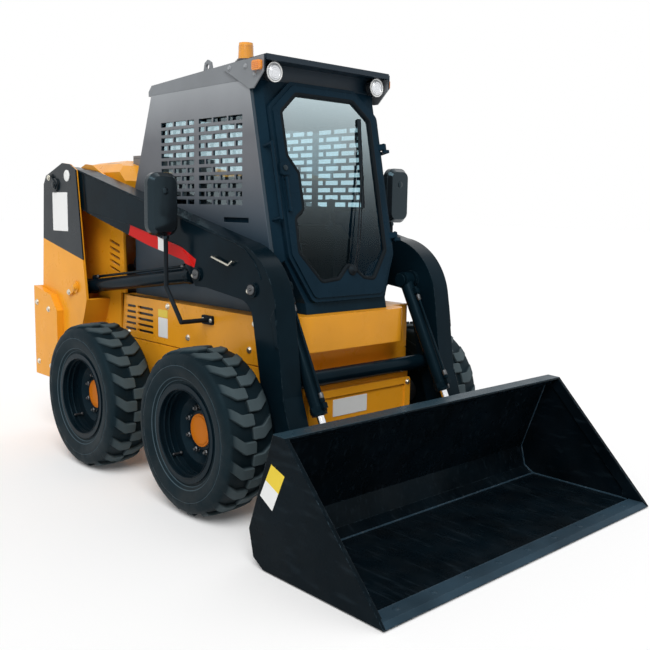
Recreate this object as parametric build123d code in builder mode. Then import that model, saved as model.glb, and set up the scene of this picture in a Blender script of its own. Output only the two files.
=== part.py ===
"""Skid steer loader with a closed cab, radial lift arms and a general purpose bucket.

Millimetres, +Z up. The machine faces -Y, and +X is its left side. The origin lies on the
ground below the middle of the whole machine.
"""

import math
import os

from build123d import *

os.makedirs("parts", exist_ok=True)

# ------------------------------------------------------------------ driving dimensions
WHEELBASE = 985.0
TYRE_R = 386.5  # 10-16.5 tyre
TYRE_W = 264.0
WHEEL_X = 718.0  # middle of a tyre from the centre line
RIM_R = 209.5
LIP_Y = -1345.0  # bucket lip, from the front axle
REAR_Y = 1925.0  # face of the rear bumpers, from the front axle
TOWER_REAR = REAR_Y - 45  # back of the towers
BUCKET_HALF = 930.0
BUCKET_GROUND = 6.0  # floor of the bucket above the ground
BODY_HALF = 500.0
TUB_HALF = 440.0
CAB_HALF = 410.0
CAB_BEVEL = 45.0  # cut from the front corners of the cab
CAB_WALL = 26.0
PANEL_T = 12.0
ARM_IN, ARM_OUT = 475.0, 585.0
ARM_MID = (ARM_IN + ARM_OUT) / 2
TOWER_IN, TOWER_OUT = 448.0, 612.0
PLATE = 15.0
LIFT_PIN_R = 25.0
PIN_R = 20.0
RUN = 0.05  # radial running clearance of pins and rods
LIFT_BARREL_R, LIFT_ROD_R = 38.0, 21.0
TILT_BARREL_R, TILT_ROD_R = 34.0, 18.0
TILT_X = 425.0
GROUND_CLEARANCE = 200.0
DECK_Z = 905.0  # top of the chassis, under the cab
CAB_FLOOR = 945.0
SEAT_Z = 1120.0
SEAT_GAP = 0.3
BEACON_X, BEACON_Y = -330.0, 200.0
TOW_EYE_Y, TOW_EYE_R, TOW_EYE_T = REAR_Y - 37, 16.0, 25.0
LIFT_EYE_PLACE, LIFT_EYE_R, LIFT_EYE_T = (430.0, 2088.0), 14.0, 12.0

# every place below is measured back from the front axle
GATE_AXIS, KNUCKLE_R = (440.0, REAR_Y + 17), 15.0  # x and y of the tailgate's upright hinge
FRONT_AXLE_Y = -(LIP_Y + GATE_AXIS[1] + KNUCKLE_R) / 2
AXLES = {"front": 0.0, "rear": WHEELBASE}
SIDES = {"right": -1, "left": 1}

# pins, as (y, z)
ARM_PIVOT = (TOWER_REAR - 210, 1515.0)
LIFT_BASE = (1440.0, 926.0)
LIFT_EYE = (240.0, 1080.0)
TILT_BASE = (-190.0, 1040.0)
BUCKET_PIVOT = (-465.0, 205.0)
CROSS_TUBE, CROSS_TUBE_R = (-305.0, 622.0), 38.0
TILT_ARM_LEN, TILT_ARM_DEG = 190.0, 108.0
TILT_EYE = (
    BUCKET_PIVOT[0] + TILT_ARM_LEN * math.cos(math.radians(TILT_ARM_DEG)),
    BUCKET_PIVOT[1] + TILT_ARM_LEN * math.sin(math.radians(TILT_ARM_DEG)),
)


def side_plane(x):
    """Local x is machine y from the front axle, local y is height."""
    return Plane(origin=(x, FRONT_AXLE_Y, 0), x_dir=(0, 1, 0), z_dir=(1, 0, 0))


def level_plane(z):
    return Plane(origin=(0, FRONT_AXLE_Y, z), x_dir=(1, 0, 0), z_dir=(0, 0, 1))


def front_plane(y):
    """Faces the front; local x is machine x, local y is height."""
    return Plane(origin=(0, FRONT_AXLE_Y + y, 0), x_dir=(1, 0, 0), z_dir=(0, -1, 0))


# cab front, leaning back towards its top: foot and head as (y, z)
FRONT_FOOT, FRONT_HEAD = (-191.0, 950.0), (25.0, 1954.0)
FRONT_LEN = math.dist(FRONT_FOOT, FRONT_HEAD)
FRONT_UP = ((FRONT_HEAD[0] - FRONT_FOOT[0]) / FRONT_LEN, (FRONT_HEAD[1] - FRONT_FOOT[1]) / FRONT_LEN)


def door_plane(out=0.0):
    """Lies on the cab front, local x is machine x, local y runs up the slope from its foot."""
    return Plane(
        origin=(0, FRONT_AXLE_Y + FRONT_FOOT[0] - out * FRONT_UP[1], FRONT_FOOT[1] + out * FRONT_UP[0]),
        x_dir=(1, 0, 0),
        z_dir=(0, -FRONT_UP[1], FRONT_UP[0]),
    )


def slope_plane(along):
    """Square to the slope of the cab front, its local y pointing back to the cab."""
    return Plane(
        origin=door_plane().from_local_coords((0, along, 0)),
        x_dir=(1, 0, 0), z_dir=(0, FRONT_UP[0], FRONT_UP[1]),
    )


DOOR_HINGE_X, DOOR_HINGE_OUT, DOOR_PIN_R = 372.0, 35.0, 6.0
DOOR_HINGES = (1250.0, 1700.0)


def hinge_plane(along):
    """Square to the door's hinge line, its local y pointing back to the cab."""
    return Plane(
        origin=door_plane(DOOR_HINGE_OUT).from_local_coords((DOOR_HINGE_X, along, 0)),
        x_dir=(1, 0, 0), z_dir=(0, FRONT_UP[0], FRONT_UP[1]),
    )


def up(z):
    """Distance up the slope of the cab front at height z."""
    return (z - FRONT_FOOT[1]) / FRONT_UP[1]


def roof_plane(x, y):
    """Lies on the sloping top of the roof at the given place."""
    run, fall = ROOF_BACK[0] - ROOF_FRONT[0], ROOF_FRONT[1] - ROOF_BACK[1]
    return Plane(
        origin=(x, FRONT_AXLE_Y + y, ROOF_FRONT[1] - (y - ROOF_FRONT[0]) * fall / run),
        x_dir=(1, 0, 0), z_dir=(0, fall, run),
    )


def band(points, thick):
    """Outline of a plate of the given thickness, laid on the left of a run of points."""
    normals = []
    for (ax, ay), (bx, by) in zip(points, points[1:]):
        length = math.hypot(bx - ax, by - ay)
        normals.append((-(by - ay) / length, (bx - ax) / length))
    inner = []
    for i, (px, py) in enumerate(points):
        n0 = normals[max(i - 1, 0)]
        n1 = normals[min(i, len(normals) - 1)]
        k = thick / (1 + n0[0] * n1[0] + n0[1] * n1[1])
        inner.append((px + k * (n0[0] + n1[0]), py + k * (n0[1] + n1[1])))
    return list(points) + inner[::-1]


# ------------------------------------------------------------------ wheels
# rings of a tyre's body, from its middle out, as (distance from the middle, radius over the flats)
TYRE_RINGS = [(118, TYRE_R - 20.5), (131, 300), (97, RIM_R + 2)]
LUGS = 20  # on each side of the tread, half a pitch apart
LUG_HALF = 27.0
# a lug seen from above, as (distance from the middle of the tread, distance along it), and its height
LUG_PLAN = [
    (140, -98), (140, -98 + 2 * LUG_HALF), (50, LUG_HALF), (-6, LUG_HALF), (-6, -LUG_HALF), (50, -LUG_HALF),
]
LUG_SIDE = [(-6, TYRE_R - 36), (-6, TYRE_R), (96, TYRE_R - 6), (126, TYRE_R - 56), (110, TYRE_R - 56)]


def ring_plane(x):
    return Plane(origin=(x, 0, 0), x_dir=(0, 0, -1), z_dir=(1, 0, 0))


# tyres of the two sides, standing at the origin, mirror images of each other
TYRES = {}
for side, s in SIDES.items():
    rings = [(-x, r) for x, r in TYRE_RINGS[::-1]] + TYRE_RINGS
    lugs = []
    for flank in (-1, 1):
        with BuildPart() as lug:
            with BuildSketch(Plane(origin=(0, 0, -TYRE_R + 46.5), x_dir=(1, 0, 0), z_dir=(0, 0, -1))):
                with BuildLine():
                    Polyline([(flank * x, -y) for x, y in LUG_PLAN], close=True)
                make_face()
            extrude(amount=60)
            with BuildSketch(Plane(origin=(0, 0, 0), x_dir=(1, 0, 0), z_dir=(0, -1, 0))):
                with BuildLine():
                    Polyline([(flank * x, -r) for x, r in LUG_SIDE], close=True)
                make_face()
            extrude(amount=110, both=True, mode=Mode.INTERSECT)
        shift = 0 if flank == s else 180 / LUGS
        lugs += [lug.part.rotate(Axis.X, shift + 360 / LUGS * i) for i in range(LUGS)]
    with BuildPart() as tyre:
        for x, r in rings:
            with BuildSketch(ring_plane(x)):
                RegularPolygon(r, LUGS, major_radius=False, rotation=180 / LUGS)
        loft(ruled=True)
        add(lugs)
        with BuildSketch(ring_plane(-TYRE_W)):
            RegularPolygon(RIM_R + 0.8, LUGS, major_radius=False, rotation=180 / LUGS)
        extrude(amount=2 * TYRE_W, mode=Mode.SUBTRACT)
    TYRES[side] = tyre.part

for end, axle_y in AXLES.items():
    for side, s in SIDES.items():
        with BuildPart() as tyre:
            with Locations((s * WHEEL_X, FRONT_AXLE_Y + axle_y, TYRE_R)):
                add(TYRES[side])
        tyre.part.label = f"tyre_{end}_{side}"
        export_step(tyre.part, f"parts/tyre_{end}_{side}.step")

        # rim barrel with flanges, dished disc and hub, as (distance outboard of the middle, radius)
        with BuildPart() as wheel:
            with BuildSketch(front_plane(axle_y)):
                with BuildLine():
                    rim = [
                        (-114, 202), (-114, 228), (-104, 228), (-104, 210), (104, 210), (104, 228),
                        (114, 228), (114, 202), (30, 202), (30, 150), (4, 118), (4, 92), (16, 92), (16, 40),
                        (16, 0), (-8, 0), (-8, 118), (18, 156), (18, 200), (-60, 202),
                    ]
                    Polyline([(s * (WHEEL_X + x), TYRE_R + r) for x, r in rim], close=True)
                make_face()
            revolve(axis=Axis((0, FRONT_AXLE_Y + axle_y, TYRE_R), (1, 0, 0)))
            with BuildSketch(side_plane(s * (WHEEL_X - 8))):
                with Locations((axle_y, TYRE_R)):
                    Circle(76)
            extrude(amount=s * 30)
            # axle shaft running in its housing
            with BuildSketch(side_plane(s * (WHEEL_X - 8))):
                with Locations((axle_y, TYRE_R)):
                    Circle(45)
            extrude(amount=-s * (WHEEL_X - 8 - BODY_HALF + 30))
        wheel.part.label = f"wheel_{end}_{side}"
        export_step(wheel.part, f"parts/wheel_{end}_{side}.step")

# axle housings, four tubes with flanges, each standing off its wheel disc
with BuildPart() as axle_housings:
    for axle_y in AXLES.values():
        for s in SIDES.values():
            with BuildSketch(side_plane(s * BODY_HALF)):
                with Locations((axle_y, TYRE_R)):
                    Circle(105)
                    Circle(45 + RUN, mode=Mode.SUBTRACT)
            extrude(amount=s * 14)
            with BuildSketch(side_plane(s * (BODY_HALF + 14))):
                with Locations((axle_y, TYRE_R)):
                    Circle(68)
                    Circle(45 + RUN, mode=Mode.SUBTRACT)
            extrude(amount=s * (WHEEL_X - 40 - BODY_HALF - 14))
axle_housings.part.label = "axle_housings"
export_step(axle_housings.part, "parts/axle_housings.step")

# ------------------------------------------------------------------ chassis
with BuildPart() as chassis:
    # middle tub, side profile
    with BuildSketch(side_plane(-360)):
        with BuildLine():
            Polyline(
                [(-150, DECK_Z), (-150, 600), (-280, 575), (-280, 330), (-160, GROUND_CLEARANCE),
                 (TOWER_REAR - 180, GROUND_CLEARANCE), (TOWER_REAR - 20, 330), (TOWER_REAR - 20, 420),
                 (1180, 420), (1180, DECK_Z)], close=True,
            )
        make_face()
    extrude(amount=720)
    # side cases that carry the axles
    for s in SIDES.values():
        with BuildSketch(side_plane(s * 360)):
            with BuildLine():
                Polyline(
                    [(-150, DECK_Z), (-150, 330), (-80, 250), (1180, 250), (1185, 420), (1185, 424),
                     (1130, DECK_Z)],
                    close=True,
                )
            make_face()
        extrude(amount=s * (BODY_HALF - 25 - 360))
        with BuildSketch(side_plane(s * (BODY_HALF - 25))):
            with BuildLine():
                Polyline(
                    [(-140, 670), (-140, 330), (-80, 260), (1160, 260), (1200, 330), (1150, 670)],
                    close=True,
                )
            make_face()
        extrude(amount=s * 25)
        # rail that carries the tower
        with BuildSketch(side_plane(s * 350)):
            with BuildLine():
                Polyline(
                    [(1170, 345), (1170, 420), (TOWER_REAR - 20, 420), (TOWER_REAR - 20, 345)], close=True,
                )
            make_face()
        extrude(amount=s * (TOWER_IN - SEAT_GAP - 350))
        # wells for the axle shafts
        for axle_y in AXLES.values():
            with BuildSketch(side_plane(s * BODY_HALF)):
                with Locations((axle_y, TYRE_R)):
                    Circle(52)
            extrude(amount=-s * 45, mode=Mode.SUBTRACT)
    # towing eye
    with BuildSketch(level_plane(250)):
        with Locations((0, REAR_Y - 95)):
            Rectangle(100, 180)
        with Locations((0, TOW_EYE_Y)):
            Circle(TOW_EYE_R, mode=Mode.SUBTRACT)
    extrude(amount=TOW_EYE_T)
chassis.part.label = "chassis"
export_step(chassis.part, "parts/chassis.step")

with BuildPart() as side_panels:
    for s in SIDES.values():
        with BuildSketch(side_plane(s * (BODY_HALF - 25))):
            with BuildLine():
                Polyline([(-140, 675), (1100, 675), (1060, DECK_Z), (-140, DECK_Z)], close=True)
            make_face()
        extrude(amount=s * 25)
        # two columns of louvres
        with BuildSketch(side_plane(s * (BODY_HALF + 1))):
            with Locations((955, 785)):
                with GridLocations(178, 32, 2, 5):
                    SlotOverall(160, 15)
        extrude(amount=-s * 13, mode=Mode.SUBTRACT)
side_panels.part.label = "side_panels"
export_step(side_panels.part, "parts/side_panels.step")

with BuildPart() as nose_panel:
    with BuildSketch(level_plane(735)):
        with BuildLine():
            Polyline((-375, -178), (-375, -150), (375, -150), (375, -178))
            ThreePointArc((375, -178), (348, -242), (285, -268))
            Line((285, -268), (-285, -268))
            ThreePointArc((-285, -268), (-348, -242), (-375, -178))
        make_face()
    extrude(amount=170)
nose_panel.part.label = "nose_panel"
export_step(nose_panel.part, "parts/nose_panel.step")

with BuildPart() as front_plate:
    with BuildSketch(front_plane(-280)):
        with Locations((0, 444)):
            RectangleRounded(700, 220, 18)
    extrude(amount=30)
    with BuildSketch(front_plane(-310)):
        with Locations((0, 444)):
            RectangleRounded(620, 150, 12)
    extrude(amount=-8, mode=Mode.SUBTRACT)
front_plate.part.label = "front_plate"
export_step(front_plate.part, "parts/front_plate.step")

ENGINE_FRONT = 1220.0
with BuildPart() as engine_block:
    with BuildSketch(level_plane(420)):
        with Locations((0, (ENGINE_FRONT + TOWER_REAR - 100) / 2)):
            Rectangle(480, TOWER_REAR - 100 - ENGINE_FRONT)
    extrude(amount=560)
engine_block.part.label = "engine_block"
export_step(engine_block.part, "parts/engine_block.step")

# ------------------------------------------------------------------ towers
TOWER_OUTLINE = [
    (1318, 860), (1352, 1090), (1420, 1597), (1500, 1632), (1585, 1640), (TOWER_REAR - 80, 1570),
    (TOWER_REAR - 45, 1520), (TOWER_REAR, 900), (TOWER_REAR, 335), (1445, 335), (1430, 480), (1405, 640),
    (1350, 770),
]
HOOD_HINGE, HINGE_R = (1205.0, 1462.0), 8.0
VENTS, VENT_PLACE, VENT_PITCH, VENT_LENGTH, VENT_HEIGHT = 5, (1255.0, 1035.0), 38.0, 120.0, 14.0
# the inner plate runs on to the cab as the wall of the engine bay
TOWER_INNER = [
    (1190, 425), (1190, 906), (1140, 907), (1165, 1470), (1190, 1490), *TOWER_OUTLINE[2:10], (1438, 425),
]
with BuildPart() as towers:
    for s in SIDES.values():
        for x0, x1, outline in (
            (TOWER_IN, TOWER_IN + PLATE, TOWER_INNER),
            (TOWER_OUT - PLATE, TOWER_OUT, TOWER_OUTLINE),
        ):
            with BuildSketch(side_plane(s * x0)):
                with BuildLine():
                    Polyline(outline, close=True)
                make_face()
            extrude(amount=s * (x1 - x0))
        # slanted vents of the engine bay, between the arm and the cab
        with BuildSketch(side_plane(s * (TOWER_IN - 1))):
            for i in range(VENTS):
                with Locations(Location((VENT_PLACE[0], VENT_PLACE[1] + i * VENT_PITCH, 0), (0, 0, 1), 14)):
                    SlotOverall(VENT_LENGTH, VENT_HEIGHT)
        extrude(amount=s * (PLATE + 2), mode=Mode.SUBTRACT)
        # rear wall, floor and arch between the two plates
        for run in (
            [(TOWER_REAR - 80, 1568), (TOWER_REAR - 45, 1520), (TOWER_REAR, 900), (TOWER_REAR, 335),
             (1445, 335)],
            [(1445, 335), (1430, 480), (1405, 640), (1350, 770), (1318, 860)],
        ):
            with BuildSketch(side_plane(s * TOWER_IN)):
                with BuildLine():
                    Polyline(band(run, -PLATE), close=True)
                make_face()
            extrude(amount=s * (TOWER_OUT - TOWER_IN))
        # fixed pins through both plates
        for (py, pz), pr in ((ARM_PIVOT, LIFT_PIN_R), (LIFT_BASE, PIN_R)):
            with BuildSketch(side_plane(s * (TOWER_IN - 12))):
                with Locations((py, pz)):
                    Circle(pr)
            extrude(amount=s * (TOWER_OUT - TOWER_IN + 24))
            with BuildSketch(side_plane(s * TOWER_OUT)):
                with Locations((py, pz)):
                    Circle(pr + 14)
            extrude(amount=s * 10)
        # stub pins that the hood turns on
        with BuildSketch(side_plane(s * TOWER_IN)):
            with Locations(HOOD_HINGE):
                Circle(HINGE_R)
        extrude(amount=-s * 50)
        with BuildSketch(side_plane(s * TOWER_IN)):
            with Locations(HOOD_HINGE):
                Circle(14)
        extrude(amount=-s * 22)
towers.part.label = "towers"
export_step(towers.part, "parts/towers.step")

GATE_HINGES = (480.0, 800.0)
with BuildPart() as rear_bumpers:
    for s in SIDES.values():
        with BuildSketch(side_plane(s * TOWER_OUT)):
            with BuildLine():
                Polyline(
                    [(REAR_Y - 305, 350), (REAR_Y - 305, 770), (REAR_Y - 225, 860), (REAR_Y, 900),
                     (REAR_Y, 350)], close=True,
                )
            make_face()
        extrude(amount=s * 40)
        with BuildSketch(side_plane(s * TUB_HALF)):
            with BuildLine():
                Polyline(
                    [(TOWER_REAR + 1, 350), (TOWER_REAR + 1, 900), (REAR_Y, 900), (REAR_Y, 350)], close=True,
                )
            make_face()
        extrude(amount=s * (TOWER_OUT - TUB_HALF))
    # hinge pins of the tailgate, each on a bracket below it
    for z in GATE_HINGES:
        with BuildSketch(level_plane(z - 14)):
            with Locations(GATE_AXIS):
                Circle(KNUCKLE_R)
            with Locations((GATE_AXIS[0] + 25, GATE_AXIS[1] - 10)):
                Rectangle(50, 20)
        extrude(amount=14)
        with BuildSketch(level_plane(z - 14)):
            with Locations(GATE_AXIS):
                Circle(HINGE_R)
        extrude(amount=60)
rear_bumpers.part.label = "rear_bumpers"
export_step(rear_bumpers.part, "parts/rear_bumpers.step")

# ------------------------------------------------------------------ cab
# the front runs down to its foot only between the tilt cylinders; its corners are cut back
DOORWAY_HALF = 362.0
REAR_WINDOW_HALF = 310.0
SILL_HALF = 272.0  # of the foot of the cab, below the door
CAB_SIDE = [
    (-60, DECK_Z), (-60, 1090), (-146, 1160), FRONT_HEAD, (33, 1992), (928, 1985), (1110, 1493),
    (1110, DECK_Z),
]
CAB_MIDDLE = [(-200, DECK_Z), FRONT_HEAD, (100, 1954), (100, DECK_Z)]
CAB_HOLLOW = [
    (-25, CAB_FLOOR), (-25, 1106), (-108, 1174), (62, 1957), (900, 1950), (1072, 1486), (1072, CAB_FLOOR),
]
MIDDLE_HOLLOW = [(-160, CAB_FLOOR), (62, 1957), (300, 1957), (300, CAB_FLOOR)]


def corner_cut():
    """Outline of what is cut from a front corner on the left, seen along the slope of the front."""
    far = CAB_HALF + 10
    return [(CAB_HALF - CAB_BEVEL - 2, -2), (far, -2), (far, far - CAB_HALF + CAB_BEVEL)]


def mirrored(points, s):
    return [(s * x, y) for x, y in points]


GRAB_X, GRAB_OUT, GRAB_R, GRAB_ENDS = -384.0, 38.0, 8.0, (1350.0, 1690.0)

# nose of the cab between the tilt cylinders, and the space in it, both narrower at their foot
CAB_NOSES = []
for outline, half, sill, step in (
    (CAB_MIDDLE, DOORWAY_HALF, SILL_HALF, 0), (MIDDLE_HOLLOW, DOORWAY_HALF - CAB_WALL, SILL_HALF - 29, 4),
):
    with BuildPart() as nose:
        with BuildSketch(side_plane(-half)):
            with BuildLine():
                Polyline(outline, close=True)
            make_face()
        extrude(amount=2 * half)
        with BuildSketch(front_plane(-250)):
            with BuildLine():
                Polyline(
                    [(-sill, 800), (-sill, 958 + step), (-half, 1150 + step), (-half, 2000),
                     (half, 2000), (half, 1150 + step), (sill, 958 + step), (sill, 800)], close=True,
                )
            make_face()
        extrude(amount=-700, mode=Mode.INTERSECT)
    CAB_NOSES.append(nose.part)

with BuildPart() as cab_frame:
    with BuildSketch(side_plane(-(CAB_HALF - PANEL_T))):
        with BuildLine():
            Polyline(CAB_SIDE, close=True)
        make_face()
    extrude(amount=2 * (CAB_HALF - PANEL_T))
    add(CAB_NOSES[0])
    # hollow inside
    with BuildSketch(side_plane(-(CAB_HALF - PANEL_T - CAB_WALL))):
        with BuildLine():
            Polyline(CAB_HOLLOW, close=True)
        make_face()
    extrude(amount=2 * (CAB_HALF - PANEL_T - CAB_WALL), mode=Mode.SUBTRACT)
    add(CAB_NOSES[1], mode=Mode.SUBTRACT)
    # bevelled front corners
    for s in SIDES.values():
        with BuildSketch(slope_plane(-150)):
            with BuildLine():
                Polyline(mirrored(corner_cut(), s), close=True)
            make_face()
        extrude(amount=FRONT_LEN + 250, mode=Mode.SUBTRACT)
    # doorway
    with BuildSketch(door_plane(5)):
        with BuildLine():
            Polyline(
                [(-205, up(1000)), (-320, up(1200)), (-320, up(1850)), (-190, up(1945)),
                 (190, up(1945)), (320, up(1850)), (320, up(1200)), (205, up(1000))], close=True,
            )
        make_face()
    extrude(amount=-60, mode=Mode.SUBTRACT)
    # side windows, right through both walls
    with BuildSketch(side_plane(-(CAB_HALF + 5))):
        with BuildLine():
            Polyline([(60, 1390), (110, 1868), (845, 1850), (900, 1390)], close=True)
        make_face()
    extrude(amount=2 * (CAB_HALF + 5), mode=Mode.SUBTRACT)
    # rear window
    with BuildSketch(front_plane(1150)):
        with Locations((0, 1730)):
            Rectangle(2 * REAR_WINDOW_HALF, 300)
    extrude(amount=300, mode=Mode.SUBTRACT)
    # door hinge pins, each on a lug that stands off the front
    for z in DOOR_HINGES:
        with BuildSketch(hinge_plane(up(z))):
            Circle(12)
            with BuildLine():
                Polyline([(0, -12), (24, -12), (24, 68), (6, 50), (12, 0), (0, 12)], close=True)
            make_face()
        extrude(amount=-16)
        with BuildSketch(hinge_plane(up(z) - 16)):
            Circle(DOOR_PIN_R)
        extrude(amount=50)
    # grab bar on the bevelled corner beside the door's lock, on two feet
    for z in GRAB_ENDS:
        with BuildSketch(door_plane(-30)):
            with Locations((GRAB_X, up(z))):
                Circle(GRAB_R)
        extrude(amount=GRAB_OUT + 30)
    with BuildSketch(slope_plane(up(GRAB_ENDS[0]) - GRAB_R)):
        with Locations((GRAB_X, -GRAB_OUT)):
            Circle(GRAB_R)
    extrude(amount=up(GRAB_ENDS[1]) - up(GRAB_ENDS[0]) + 2 * GRAB_R)
cab_frame.part.label = "cab_frame"
export_step(cab_frame.part, "parts/cab_frame.step")

# grille of a side panel: rows of slots in two columns, staggered from row to row
GRILLE_ROWS, GRILLE_Z, GRILLE_PITCH, GRILLE_SLOT, GRILLE_WEB = 11, 1425.0, 40.0, 24.0, 12.0
GRILLE_COLUMNS = [  # start of the column, then the lengths of the slots in its even and in its odd rows
    (122.0, (112, 112, 112), (50, 112, 112, 50)),
    (524.0, (60, 112, 112), (112, 112, 60)),
]
with BuildPart() as cab_side_panels:
    for s in SIDES.values():
        with BuildSketch(side_plane(s * (CAB_HALF - PANEL_T))):
            with BuildLine():
                Polyline(CAB_SIDE, close=True)
            make_face()
            for row in range(GRILLE_ROWS):
                for start, even, odd in GRILLE_COLUMNS:
                    for length in odd if row % 2 else even:
                        with Locations((start + length / 2, GRILLE_Z + row * GRILLE_PITCH)):
                            Rectangle(length, GRILLE_SLOT, mode=Mode.SUBTRACT)
                        start += length + GRILLE_WEB
            with Locations((170, 1340)):
                Rectangle(200, GRILLE_SLOT, mode=Mode.SUBTRACT)
        extrude(amount=s * PANEL_T)
        with BuildSketch(slope_plane(-150)):
            with BuildLine():
                Polyline(mirrored(corner_cut(), s), close=True)
            make_face()
        extrude(amount=FRONT_LEN + 250, mode=Mode.SUBTRACT)
cab_side_panels.part.label = "cab_side_panels"
export_step(cab_side_panels.part, "parts/cab_side_panels.step")

with BuildPart() as cab_glass:
    for s in SIDES.values():
        with BuildSketch(side_plane(s * (CAB_HALF - PANEL_T - 12))):
            with BuildLine():
                Polyline([(61, 1391), (111, 1867), (844, 1849), (899, 1391)], close=True)
            make_face()
        extrude(amount=-s * 5)
    # pane in the sloping rear wall
    with BuildSketch(side_plane(-REAR_WINDOW_HALF + 0.3)):
        with BuildLine():
            Polyline([(1066, 1580.3), (955.7, 1879.7), (950.7, 1879.7), (1061, 1580.3)], close=True)
        make_face()
    extrude(amount=2 * REAR_WINDOW_HALF - 0.6)
cab_glass.part.label = "cab_glass"
export_step(cab_glass.part, "parts/cab_glass.step")

ROOF_FRONT, ROOF_BACK = (-52.0, 2096.0), (930.0, 2040.0)  # slope of the roof's top
ROOF_SIDE = [
    ROOF_FRONT, (-52, 2070), (33, 2068), (33, 1992), (928, 1985), (960, 1985), (960, 2010), ROOF_BACK,
]
ROOF_HALF = CAB_HALF - 4
# bracket at each front corner of the roof, down over the side panel
GUSSET, GUSSET_T = [(-48, 2022), (30, 1948), (62, 1948), (262, 2052), (262, 2072), (-48, 2090)], 6.0
with BuildPart() as cab_roof:
    with BuildSketch(side_plane(-ROOF_HALF)):
        with BuildLine():
            Polyline(ROOF_SIDE, close=True)
        make_face()
    extrude(amount=2 * ROOF_HALF)
    # raised middle of the roof
    with BuildSketch(roof_plane(0, 500)):
        RectangleRounded(2 * ROOF_HALF - 260, 620, 40)
    extrude(amount=8, taper=30)
    for s in SIDES.values():
        with BuildSketch(side_plane(s * (CAB_HALF + 0.3))):
            with BuildLine():
                Polyline(GUSSET, close=True)
            make_face()
        extrude(amount=s * GUSSET_T)
        with BuildSketch(side_plane(s * (ROOF_HALF - 20))):
            with BuildLine():
                Polyline([(-48, 2074), (-48, 2090), (262, 2072), (262, 2056)], close=True)
            make_face()
        extrude(amount=s * (24 + GUSSET_T))
        # lifting eyes
        with BuildSketch(side_plane(s * (CAB_HALF - 30))):
            with BuildLine():
                Polyline([(390, 2050), (405, 2108), (430, 2122), (455, 2108), (470, 2050)], close=True)
            make_face()
            with Locations(LIFT_EYE_PLACE):
                Circle(LIFT_EYE_R, mode=Mode.SUBTRACT)
        extrude(amount=s * LIFT_EYE_T)
cab_roof.part.label = "cab_roof"
export_step(cab_roof.part, "parts/cab_roof.step")

# ------------------------------------------------------------------ cab inside
with BuildPart() as seat:
    with BuildSketch(level_plane(SEAT_Z + SEAT_GAP)):
        with Locations((0, 560)):
            Rectangle(460, 460)
    extrude(amount=110)
    with BuildSketch(side_plane(-220)):
        with BuildLine():
            Polyline(
                [(690, SEAT_Z + 110 + 2 * SEAT_GAP), (785, SEAT_Z + 110 + 2 * SEAT_GAP),
                 (900, 1590), (820, 1620)], close=True,
            )
        make_face()
    extrude(amount=440)
seat.part.label = "seat"
export_step(seat.part, "parts/seat.step")

with BuildPart() as seat_base:
    with BuildSketch(level_plane(CAB_FLOOR)):
        with Locations((0, 560)):
            Rectangle(420, 420)
    extrude(amount=SEAT_Z - CAB_FLOOR)
seat_base.part.label = "seat_base"
export_step(seat_base.part, "parts/seat_base.step")

POD_IN, POD_OUT = 245.0, CAB_HALF - PANEL_T - CAB_WALL - 10
with BuildPart() as control_pods:
    for s in SIDES.values():
        with BuildSketch(side_plane(s * POD_IN)):
            with BuildLine():
                Polyline(
                    [(180, CAB_FLOOR), (330, CAB_FLOOR), (700, 1260), (700, 1310), (240, 1310), (160, 1240)],
                    close=True,
                )
            make_face()
        extrude(amount=s * (POD_OUT - POD_IN))
        # lever with its boot and grip
        with BuildSketch(level_plane(1305)):
            with Locations((s * (POD_IN + POD_OUT) / 2, 260)):
                Circle(34)
        extrude(amount=30, taper=30)
        with BuildSketch(level_plane(1305)):
            with Locations((s * (POD_IN + POD_OUT) / 2, 260)):
                Circle(9)
        extrude(amount=150)
        with BuildSketch(level_plane(1380)):
            with Locations((s * (POD_IN + POD_OUT) / 2, 260)):
                RectangleRounded(36, 46, 15)
        extrude(amount=72)
control_pods.part.label = "control_pods"
export_step(control_pods.part, "parts/control_pods.step")

# ------------------------------------------------------------------ lights and cab trim
# a work lamp's half section, as (distance in front of its back, radius)
LAMP_HALF = [(0, 0), (0, 22), (16, 42), (52, 46), (58, 46), (58, 41), (54, 38), (56, 20), (57, 0)]
LAMP_X, LAMP_Y, LAMP_Z, REAR_LAMP_X = 340.0, 26.0, 2022.0, 300.0
with BuildPart() as work_lights:
    for s in SIDES.values():
        with BuildSketch(level_plane(LAMP_Z)):
            with BuildLine():
                Polyline([(s * LAMP_X + r, LAMP_Y - d) for d, r in LAMP_HALF], close=True)
            make_face()
        revolve(axis=Axis((s * LAMP_X, FRONT_AXLE_Y, LAMP_Z), (0, -1, 0)))
        with BuildSketch(front_plane(33)):
            with Locations((s * LAMP_X, LAMP_Z)):
                Circle(14)
        extrude(amount=20)
        # rear lamps under the back edge of the roof, and tail lights on the bumpers
        with BuildSketch(front_plane(1012)):
            with Locations((s * REAR_LAMP_X, 1945)):
                RectangleRounded(110, 62, 14)
        extrude(amount=1012 - 954.3)
        with BuildSketch(front_plane(REAR_Y + 14)):
            with Locations((s * (TOWER_IN + TOWER_OUT + 50) / 2, 770)):
                RectangleRounded(60, 130, 12)
        extrude(amount=13.7)
work_lights.part.label = "work_lights"
export_step(work_lights.part, "parts/work_lights.step")

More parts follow.
